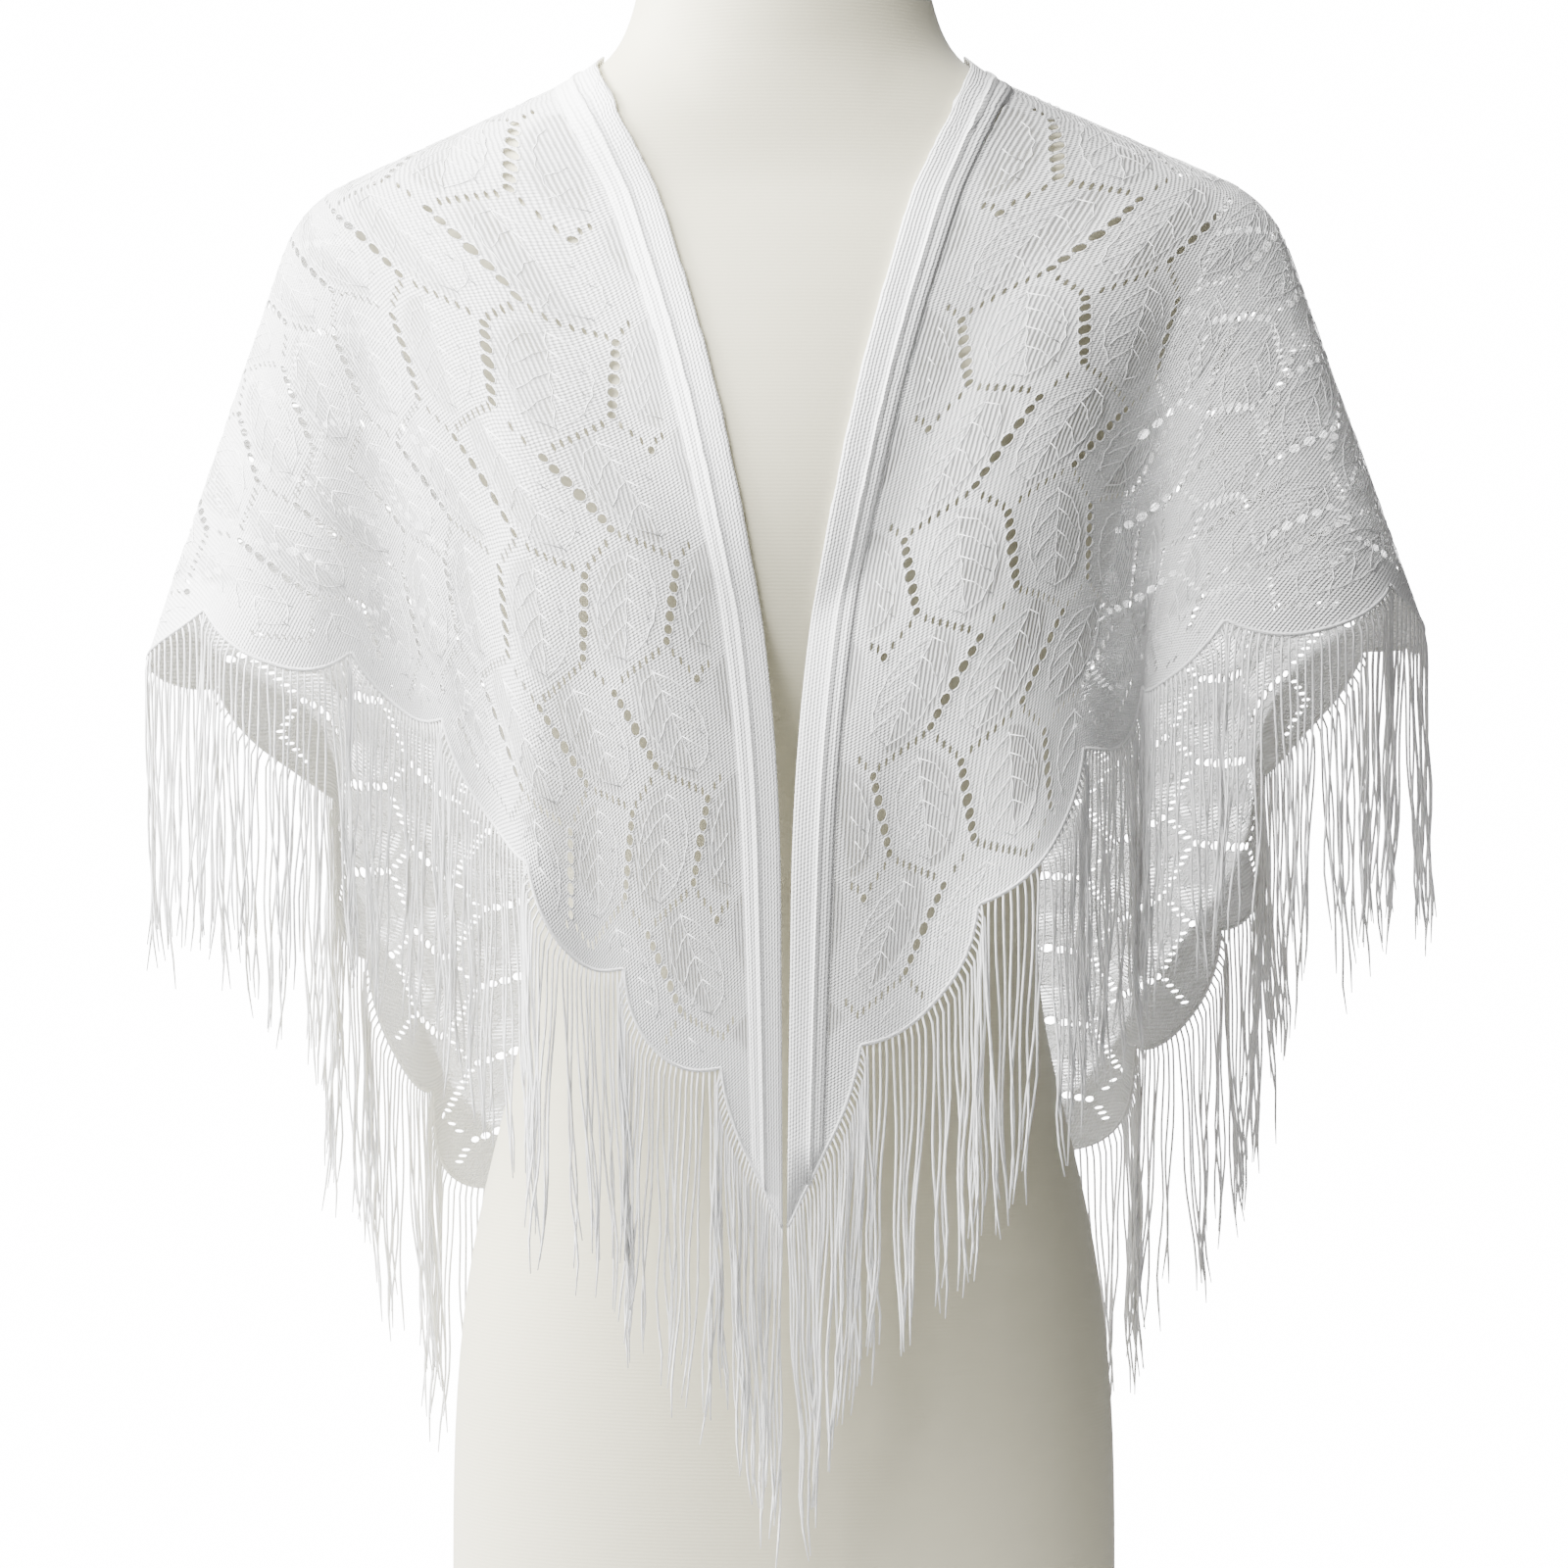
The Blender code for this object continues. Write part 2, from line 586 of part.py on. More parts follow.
def build_fringe(drape, side, name, material):
    """One side's fringe: a narrow strip along the hem, and the strands that hang from it."""
    rows = strip_corners(drape, side)
    places = strand_places(rows)
    stops = []
    for segment in range(len(rows) - 1):
        stops.append((segment, 0.0, None))
        length = (rows[segment + 1][1] - rows[segment][1]).length
        half = 0.5 * STRAND_WIDTH / length
        previous = 0.0
        for strand, (place_segment, share) in enumerate(places):
            if place_segment != segment:
                continue
            share = min(max(share, previous + ROOT_ROOM * half), 1.0 - ROOT_ROOM * half)
            if share - half <= previous:
                continue
            stops.append((segment, share - half, strand))
            stops.append((segment, share + half, None))
            previous = share + half
    stops.append((len(rows) - 2, 1.0, None))
    points = []
    for segment, share, _ in stops:
        near = rows[segment][0].lerp(rows[segment + 1][0], share)
        far = rows[segment][1].lerp(rows[segment + 1][1], share)
        out = rows[segment][2].lerp(rows[segment + 1][2], share).normalized() * 0.5 * STRIP_WALL
        points += [near + out, far + out, far - out, near - out]
    faces = [(3, 2, 1, 0), tuple(range(len(points) - 4, len(points)))]
    for stop in range(len(stops) - 1):
        low = stop * 4
        for corner in range(4):
            following = (corner + 1) % 4
            if corner == 1 and stops[stop][2] is not None:
                continue
            faces.append((low + corner, low + following, low + 4 + following, low + 4 + corner))
    for stop in range(len(stops) - 1):
        strand = stops[stop][2]
        if strand is not None:
            low = stop * 4
            hang_strand(points, faces, (low + 1, low + 2, low + 6, low + 5), strand)
    return make_object(name, points, faces, material)


def hang_strand(points, faces, root, strand):
    """Grow one four-sided strand from a root face: out of the hem, then down to a point."""
    corners = [points[corner] for corner in root]
    middle = sum(corners, Vector()) / 4
    run = ((corners[2] + corners[3]) - (corners[0] + corners[1])).to_2d().to_3d().normalized()
    out = ((corners[0] + corners[3]) - (corners[1] + corners[2])).to_2d().to_3d()
    out = (out - run * out.dot(run)).normalized()
    share = strand / STRANDS_A_SIDE
    length = STRAND_LENGTH + (BACK_STRAND_LENGTH - STRAND_LENGTH) * share
    length += STRAND_VARIATION * math.sin(LENGTH_STEP * strand)
    sway = STRAND_SWAY * math.sin(SWAY_STEP * strand)
    half_run = run * 0.5 * STRAND_WIDTH
    half_out = out * 0.5 * STRIP_WALL
    ring = root
    for drop, shift in ((ROOT_DROP, 0.0), (0.5 * length, sway)):
        centre = middle + run * shift - Vector((0.0, 0.0, drop))
        first = len(points)
        points += [centre - half_run + half_out, centre - half_run - half_out,
                   centre + half_run - half_out, centre + half_run + half_out]
        following = (first, first + 1, first + 2, first + 3)
        for side in range(4):
            other = (side + 1) % 4
            faces.append((ring[side], ring[other], following[other], following[side]))
        ring = following
    points.append(middle - Vector((0.0, 0.0, length)))
    for side in range(4):
        faces.append((ring[side], ring[(side + 1) % 4], len(points) - 1))


def main():
    """Build the form, then the scarf in its four pieces."""
    clear_scene()
    cream = make_material("form_jersey", (0.80, 0.77, 0.69), 0.6)
    white = make_material("lace_yarn", (0.88, 0.88, 0.87), 0.75)
    bright = make_material("band_yarn", (0.90, 0.90, 0.89), 0.7)
    fringe = make_material("fringe_yarn", (0.89, 0.89, 0.88), 0.7)
    form = build_form(cream)
    drape = Drape(form)
    build_lace(drape, white)
    build_band(drape, bright)
    build_fringe(drape, -1, "fringe_left", fringe)
    build_fringe(drape, 1, "fringe_right", fringe)


main()
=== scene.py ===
"""Looks of a fringed lace scarf on a limbless dress form.

The scarf is drawn flat as it is cut, and then carried over the form. Flat places are metres: `along` runs
down the long edge from the centre back, negative to the viewer's left, and `deep` runs across the cloth
from the long edge to the hem. In the frame +Z is up and the front faces -Y.
"""

import logging
import math
from dataclasses import astuple, dataclass, field
from enum import Enum

import bpy
import numpy as np
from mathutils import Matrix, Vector
from mathutils.bvhtree import BVHTree
from mathutils.geometry import delaunay_2d_cdt
from mathutils.kdtree import KDTree


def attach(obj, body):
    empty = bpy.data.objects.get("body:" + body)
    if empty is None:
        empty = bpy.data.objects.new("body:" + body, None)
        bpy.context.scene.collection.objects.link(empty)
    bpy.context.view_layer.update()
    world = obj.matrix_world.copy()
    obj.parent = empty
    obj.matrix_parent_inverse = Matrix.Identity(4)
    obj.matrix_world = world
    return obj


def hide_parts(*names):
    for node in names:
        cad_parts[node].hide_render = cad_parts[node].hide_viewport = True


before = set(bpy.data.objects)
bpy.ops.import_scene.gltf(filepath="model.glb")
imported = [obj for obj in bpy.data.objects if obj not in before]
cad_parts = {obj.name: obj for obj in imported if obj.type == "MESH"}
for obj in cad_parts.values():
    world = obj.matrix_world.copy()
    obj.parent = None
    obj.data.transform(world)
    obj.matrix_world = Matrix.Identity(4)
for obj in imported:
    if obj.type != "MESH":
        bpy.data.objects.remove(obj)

LOG = logging.getLogger("lace_scarf")
BODY = "root"
CUT_MAP = "cut"
SMALLEST = 1e-9
YARN_REFERENCE = np.array([0.31, 0.95, 0.05])
OTHER_HALF = np.array([-1.0, 1.0])


class Side(Enum):
    """The two halves of the scarf, by the sign of their flat places."""

    LEFT = -1
    RIGHT = 1


class Eyelet(Enum):
    """The two shapes of opening in the lace."""

    OVAL = "oval"
    SLIT = "slit"


@dataclass(frozen=True)
class Fall:
    """One fall of the cloth: where it bends over the form, and where it meets the hem's notches."""

    turn: float
    bend_x: float
    bend_y: float
    bend_z: float
    rounding: float
    notch_x: float
    notch_y: float
    notch_z: float


@dataclass(frozen=True)
class Fold:
    """A soft ridge, or a trough where the depth is negative, that grows from a share of the way down."""

    turn: float
    half_turn: float
    depth: float
    starts: float


LEFT_FALLS = (
    Fall(0.0, 0.002, -0.130, 0.560, 0.150, 0.0008, -0.126, 0.312),
    Fall(9.8, 0.062, -0.128, 0.600, 0.100, 0.067, -0.129, 0.379),
    Fall(17.7, 0.112, -0.106, 0.650, 0.070, 0.110, -0.130, 0.424),
    Fall(22.0, 0.137, -0.089, 0.680, 0.056, 0.130, -0.106, 0.462),
    Fall(27.1, 0.160, -0.070, 0.703, 0.045, 0.150, -0.098, 0.490),
    Fall(35.0, 0.192, -0.044, 0.724, 0.034, 0.179, -0.084, 0.517),
    Fall(42.0, 0.212, -0.026, 0.731, 0.028, 0.212, -0.096, 0.528),
    Fall(49.2, 0.224, -0.008, 0.733, 0.025, 0.256, -0.078, 0.542),
    Fall(54.5, 0.227, 0.006, 0.733, 0.025, 0.289, -0.022, 0.538),
    Fall(60.6, 0.224, 0.022, 0.731, 0.026, 0.276, 0.040, 0.512),
    Fall(71.0, 0.204, 0.048, 0.725, 0.030, 0.221, 0.088, 0.460),
    Fall(80.1, 0.180, 0.066, 0.718, 0.034, 0.206, 0.112, 0.380),
    Fall(90.0, 0.150, 0.080, 0.711, 0.040, 0.170, 0.134, 0.300),
    Fall(110.0, 0.076, 0.100, 0.698, 0.050, 0.092, 0.144, 0.238),
    Fall(130.0, 0.000, 0.105, 0.690, 0.060, 0.000, 0.146, 0.174),
)
RIGHT_FALLS = (
    Fall(0.0, 0.005, -0.130, 0.560, 0.150, 0.0018, -0.126, 0.312),
    Fall(9.8, 0.068, -0.128, 0.606, 0.100, 0.080, -0.129, 0.405),
    Fall(17.7, 0.118, -0.104, 0.655, 0.070, 0.129, -0.118, 0.476),
    Fall(27.1, 0.163, -0.068, 0.706, 0.045, 0.161, -0.076, 0.506),
    Fall(36.0, 0.196, -0.040, 0.727, 0.034, 0.184, -0.096, 0.532),
    Fall(43.0, 0.215, -0.022, 0.733, 0.028, 0.228, -0.092, 0.545),
    Fall(49.2, 0.226, -0.008, 0.735, 0.025, 0.272, -0.064, 0.554),
    Fall(54.5, 0.228, 0.006, 0.735, 0.025, 0.292, -0.012, 0.550),
    Fall(60.6, 0.225, 0.022, 0.733, 0.026, 0.284, 0.044, 0.530),
    Fall(71.0, 0.205, 0.048, 0.727, 0.030, 0.232, 0.090, 0.470),
    Fall(80.1, 0.181, 0.066, 0.720, 0.034, 0.214, 0.112, 0.394),
    Fall(90.0, 0.150, 0.080, 0.711, 0.040, 0.170, 0.134, 0.322),
    Fall(110.0, 0.076, 0.100, 0.698, 0.050, 0.092, 0.144, 0.248),
    Fall(130.0, 0.000, 0.105, 0.690, 0.060, 0.000, 0.146, 0.174),
)
LEFT_FOLDS = (
    Fold(14.0, 3.4, -0.006, 0.45),
    Fold(46.0, 4.0, 0.004, 0.45),
    Fold(66.0, 4.5, -0.014, 0.45),
    Fold(75.5, 4.5, 0.006, 0.50),
    Fold(85.0, 4.5, -0.012, 0.45),
    Fold(101.0, 7.0, 0.008, 0.55),
    Fold(116.0, 7.0, -0.008, 0.50),
)
RIGHT_FOLDS = (
    Fold(7.0, 2.6, -0.005, 0.55),
    Fold(13.5, 3.0, 0.006, 0.50),
    Fold(31.5, 3.4, -0.006, 0.40),
    Fold(65.0, 4.5, -0.014, 0.45),
    Fold(76.0, 4.5, 0.010, 0.50),
    Fold(86.0, 4.5, -0.012, 0.50),
    Fold(103.0, 7.0, 0.008, 0.50),
    Fold(119.0, 7.0, -0.007, 0.55),
)


@dataclass
class ScarfCut:
    """The flat cut: a wide triangle with a scalloped hem and a plain heading along its long edge."""

    neck_run: float = 0.14
    front_run: float = 0.57
    notch_run: float = 0.526
    hem_slope: float = 0.9
    first_notch: float = 0.033
    scallops: int = 12
    scallop_depth: float = 0.016
    scallop_power: float = 2.3
    band_width: float = 0.018
    tip_slant: float = 0.034
    tip_bulge: float = 0.003
    tip_steps: int = 5

    def half_length(self) -> float:
        """Half of the long edge."""
        return self.neck_run + self.front_run

    def centre_depth(self) -> float:
        """Depth at the centre back, from the long edge to the last notch."""
        return self.hem_slope * (self.neck_run + self.notch_run)

    def hem_outline(self, steps: int) -> list[tuple[float, float]]:
        """The hem of the right half, from beside the heading at the front tip to the centre back.

        Args:
            steps: how many stretches make one scallop.

        Returns:
            Flat places along the hem.
        """
        first = self.neck_run + self.notch_run - self.first_notch / self.hem_slope
        start = self.half_length() - self.tip_slant
        outline = []
        for step in range(self.tip_steps):
            share = step / self.tip_steps
            bulge = 4.0 * self.tip_bulge * share * (1.0 - share)
            outline.append((start + (first - start) * share,
                            self.band_width + (self.first_notch - self.band_width) * share + bulge))
        pitch = first / self.scallops
        out = np.array([self.hem_slope, 1.0]) / math.hypot(self.hem_slope, 1.0)
        for scallop in range(self.scallops):
            for step in range(steps):
                share = step / steps
                bulge = self.scallop_depth * (1.0 - abs(2.0 * share - 1.0) ** self.scallop_power)
                way = pitch * (scallop + share)
                outline.append((first - way + out[0] * bulge,
                                self.first_notch + self.hem_slope * way + out[1] * bulge))
        outline.append((0.0, self.first_notch + self.hem_slope * first))
        return outline

    def fringe_line(self, steps: int) -> list[tuple[float, float]]:
        """The hem of the right half with the slanted end of the heading before it."""
        return [(self.half_length(), 0.0)] + self.hem_outline(steps)

    def outline(self, steps: int, edge_pitch: float) -> list[tuple[float, float]]:
        """The whole outline of the lace, anticlockwise from the heading.

        Args:
            steps: how many stretches make one scallop.
            edge_pitch: distance of the points along the heading.

        Returns:
            Flat places round the lace.
        """
        end = self.half_length() - self.tip_slant
        count = math.ceil(end / edge_pitch)
        seam = [(end * stop / count, self.band_width) for stop in range(-count + 1, count)]
        hem = self.hem_outline(steps)
        return seam + hem + [(-along, deep) for along, deep in reversed(hem[:-1])]


@dataclass
class Drape:
    """Carries flat places of the scarf to their place on the form."""

    cut: ScarfCut
    form: bpy.types.Object
    neck_point: tuple[float, float, float] = (0.081, 0.0, 0.800)
    nape_point: tuple[float, float, float] = (0.0, 0.082, 0.782)
    stand: tuple[float, float, float] = (0.0, -0.0093, 0.0)
    centre_back_turn: float = 130.0
    room: float = 0.0022
    ease: float = 0.0012
    fold_front_weight: float = 1.6
    fold_full: float = 1.2
    most_rounding: float = 0.8
    soft_span: float = 8.0
    normal_step: float = 0.004
    normal_from: float = 0.006
    support: BVHTree = field(init=False)

    def __post_init__(self) -> None:
        """Read the smoothed form that the cloth is kept clear of."""
        mesh = self.form.data
        corners = [vertex.co.copy() for vertex in mesh.vertices]
        self.support = BVHTree.FromPolygons(corners, [tuple(face.vertices) for face in mesh.polygons])

    @staticmethod
    def read_rows(rows: tuple[Fall, ...], at: np.ndarray) -> np.ndarray:
        """Columns of a table of falls at many turns, along a cubic through its rows.

        Args:
            rows: the table, its first column the turn.
            at: the turns.

        Returns:
            One row of columns for each turn.
        """
        table = np.array([astuple(row) for row in rows])
        places = table[:, 0]
        at = np.clip(at, places[0], places[-1])
        low = np.clip(np.searchsorted(places, at, side="right") - 1, 0, len(places) - 2)
        before = np.maximum(np.arange(len(places)) - 1, 0)
        after = np.minimum(np.arange(len(places)) + 1, len(places) - 1)
        slopes = (table[after] - table[before]) / (places[after] - places[before])[:, None]
        span = (places[low + 1] - places[low])[:, None]
        t = ((at - places[low])[:, None]) / span
        return ((1 + 2 * t) * (1 - t) ** 2 * table[low] + t * t * (3 - 2 * t) * table[low + 1]
                + t * (1 - t) ** 2 * span * slopes[low] + t * t * (t - 1) * span * slopes[low + 1])

    def half_places(self, side: Side, along: np.ndarray, deep: np.ndarray) -> np.ndarray:
        """Places of one half of the cloth, with x outward.

        Args:
            side: the half.
            along: flat places down the long edge, all positive.
            deep: flat places across the cloth.

        Returns:
            Points before they are kept clear of the form.
        """
        falls = LEFT_FALLS if side is Side.LEFT else RIGHT_FALLS
        folds = LEFT_FOLDS if side is Side.LEFT else RIGHT_FOLDS
        past_neck = along - self.cut.neck_run
        in_back = past_neck < 0
        angle = np.arctan2(deep, np.where(in_back, 1.0, past_neck))
        back_turn = 90.0 - past_neck / self.cut.neck_run * (self.centre_back_turn - 90.0)
        turn = np.where(in_back, back_turn, np.degrees(angle))
        reach = np.where(in_back, deep, np.hypot(deep, past_neck))
        slope = self.cut.hem_slope
        front_notch = slope * self.cut.notch_run / (np.sin(angle) + slope * np.cos(angle))
        notch_reach = np.where(in_back, slope * (self.cut.notch_run - past_neck), front_notch)
        rows = self.read_rows(falls, turn)
        share_of_neck = 1.0 - np.maximum(turn - 90.0, 0.0) / (self.centre_back_turn - 90.0)
        quarter = 0.5 * math.pi * share_of_neck
        rise = self.neck_point[2] - self.nape_point[2]
        start = np.stack([self.neck_point[0] * np.sin(quarter), self.nape_point[1] * np.cos(quarter),
                          self.nape_point[2] + rise * share_of_neck ** 2], axis=1)
        bend = rows[:, 1:4]
        notch = rows[:, 5:8]
        first = np.linalg.norm(bend - start, axis=1)[:, None]
        second = np.linalg.norm(notch - bend, axis=1)[:, None]
        down = (reach / notch_reach)[:, None] * (first + second)
        rounding = np.minimum(rows[:, 4:5], self.most_rounding * first)
        first_way = (bend - start) / first
        second_way = (notch - bend) / second
        t = np.clip((down - first + rounding) / (2 * rounding), 0.0, 1.0)
        corner = ((1 - t) ** 2 * (bend - first_way * rounding) + 2 * t * (1 - t) * bend
                  + t * t * (bend + second_way * rounding))
        points = np.where(down <= first - rounding, start + first_way * down,
                          np.where(down >= first + rounding, bend + second_way * (down - first), corner))
        outward = points * np.array([1.0, self.fold_front_weight, 0.0])
        outward /= np.maximum(np.linalg.norm(outward, axis=1), 1e-6)[:, None]
        for fold in folds:
            grown = np.clip((reach / notch_reach - fold.starts) / (1.0 - fold.starts), 0.0, self.fold_full)
            swell = fold.depth * grown * np.exp(-((turn - fold.turn) / fold.half_turn) ** 2)
            points = points + outward * swell[:, None]
        return points

    def places(self, along: np.ndarray, deep: np.ndarray) -> np.ndarray:
        """Places of the middle of the cloth, in the frame, clear of the form.

        Args:
            along: flat places down the long edge.
            deep: flat places across the cloth.

        Returns:
            One point for each flat place.
        """
        along = np.asarray(along, dtype=float)
        deep = np.asarray(deep, dtype=float)
        points = np.zeros((len(along), 3))
        for side in Side:
            chosen = (along < 0) if side is Side.LEFT else (along >= 0)
            if chosen.any():
                half = self.half_places(side, np.abs(along[chosen]), deep[chosen])
                half[:, 0] *= side.value
                points[chosen] = half
        points += np.array(self.stand)
        for number, point in enumerate(points):
            spot = Vector(point)
            surface, normal, _, _ = self.support.find_nearest(spot)
            short = (self.room - (spot - surface).dot(normal)) / self.ease
            if short > self.soft_span:
                points[number] = surface + normal * self.room
            elif short > -self.soft_span:
                points[number] = spot + normal * self.ease * math.log1p(math.exp(short))
        return points

    def ways_out(self, along: np.ndarray, deep: np.ndarray) -> np.ndarray:
        """Unit normals of the cloth, pointing away from the form.

        Args:
            along: flat places down the long edge.
            deep: flat places across the cloth.

        Returns:
            One direction for each flat place.
        """
        step = self.normal_step
        base = np.maximum(np.asarray(deep, dtype=float), self.normal_from)
        along = np.asarray(along, dtype=float)
        down = self.places(along, base + step) - self.places(along, base - step)
        across = self.places(along + step, base) - self.places(along - step, base)
        out = np.cross(across, down)
        return out / np.linalg.norm(out, axis=1)[:, None]

    def lifted(self, flat: np.ndarray, lifts: np.ndarray | float) -> np.ndarray:
        """Places that stand off the middle of the cloth, away from the form.

        Args:
            flat: flat places.
            lifts: one lift for each place, or one for all.

        Returns:
            One point for each flat place.
        """
        along, deep = flat[:, 0], flat[:, 1]
        each = np.broadcast_to(lifts, len(flat))[:, None]
        return self.places(along, deep) + self.ways_out(along, deep) * each


def link_mesh(name: str, points: np.ndarray, faces: list[tuple[int, ...]]) -> bpy.types.Object:
    """Make a smooth mesh object at the origin.

    Args:
        name: the object's name.
        points: places in the frame.
        faces: corners of each face.

    Returns:
        The new object.
    """
    mesh = bpy.data.meshes.new(name)
    mesh.from_pydata([tuple(point) for point in points], [], faces)
    mesh.shade_smooth()
    piece = bpy.data.objects.new(name, mesh)
    bpy.context.scene.collection.objects.link(piece)
    return piece


def write_map(piece: bpy.types.Object, flat: np.ndarray) -> None:
    """Store flat places in metres as the piece's own map.

    Args:
        piece: a mesh object whose points come in the order of the flat places.
        flat: one flat place for each point.
    """
    layer = piece.data.uv_layers.new(name=CUT_MAP)
    corners = np.zeros(len(piece.data.loops), dtype=np.int64)
    piece.data.loops.foreach_get("vertex_index", corners)
    layer.data.foreach_set("uv", np.asarray(flat)[corners].astype(np.float32).ravel())


def select_only(piece: bpy.types.Object) -> None:
    """Make one piece the selected and active object."""
    bpy.ops.object.select_all(action="DESELECT")
    piece.select_set(True)
    bpy.context.view_layer.objects.active = piece


def apply_solidify(piece: bpy.types.Object, wall: float) -> None:
    """Give a single skin its wall, half on each side.

    Args:
        piece: the skin.
        wall: its thickness.
    """
    modifier = piece.modifiers.new("wall", "SOLIDIFY")
    modifier.thickness = wall
    modifier.offset = 0.0
    modifier.use_even_offset = False
    select_only(piece)
    bpy.ops.object.modifier_apply(modifier=modifier.name)


def tube(path: np.ndarray, radii: np.ndarray, sides: int,
         first: int) -> tuple[list[np.ndarray], list[tuple[int, ...]]]:
    """A yarn along a path, closed at both ends.

    Args:
        path: its middle line.
        radii: its radius at each place.
        sides: how many sides it has.
        first: the number of its first point.

    Returns:
        Its points and its faces.
    """
    way = np.gradient(path, axis=0)
    way /= np.maximum(np.linalg.norm(way, axis=1), SMALLEST)[:, None]
    across = np.cross(way, YARN_REFERENCE)
    across /= np.maximum(np.linalg.norm(across, axis=1), SMALLEST)[:, None]
    through = np.cross(way, across)
    angles = 2.0 * math.pi * np.arange(sides) / sides
    ring = (np.cos(angles)[None, :, None] * across[:, None, :]
            + np.sin(angles)[None, :, None] * through[:, None, :])
    points = (path[:, None, :] + radii[:, None, None] * ring).reshape(-1, 3)
    faces = []
    for stop in range(len(path) - 1):
        low = first + sides * stop
        for corner in range(sides):
            other = (corner + 1) % sides
            faces.append((low + corner, low + other, low + sides + other, low + sides + corner))
    faces.append(tuple(reversed(range(first, first + sides))))
    last = first + sides * (len(path) - 1)
    faces.append(tuple(range(last, last + sides)))
    return list(points), faces


def link_yarns(name: str, lines: list[np.ndarray], radius: float) -> bpy.types.Object:
    """Make one piece of many fine three-sided yarns.

    Args:
        name: the piece's name.
        lines: the middle line of each yarn.
        radius: their radius.

    Returns:
        The new object.
    """
    points = []
    faces = []
    for line in lines:
        more_points, more_faces = tube(line, np.full(len(line), radius), 3, len(points))
        points += more_points
        faces += more_faces
    return link_mesh(name, np.array(points), faces)


def finish_piece(piece: bpy.types.Object, material: bpy.types.Material,
                 nodes: tuple[str, ...] = ()) -> None:
    """Dress a piece and tie it to the frame.

    Args:
        piece: the finished mesh object.
        material: its finish.
        nodes: the solids that it replaces.
    """
    piece.data.materials.clear()
    piece.data.materials.append(material)
    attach(piece, BODY)
    if nodes:
        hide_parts(*nodes)
    LOG.info("%s: %d faces", piece.name, len(piece.data.polygons))


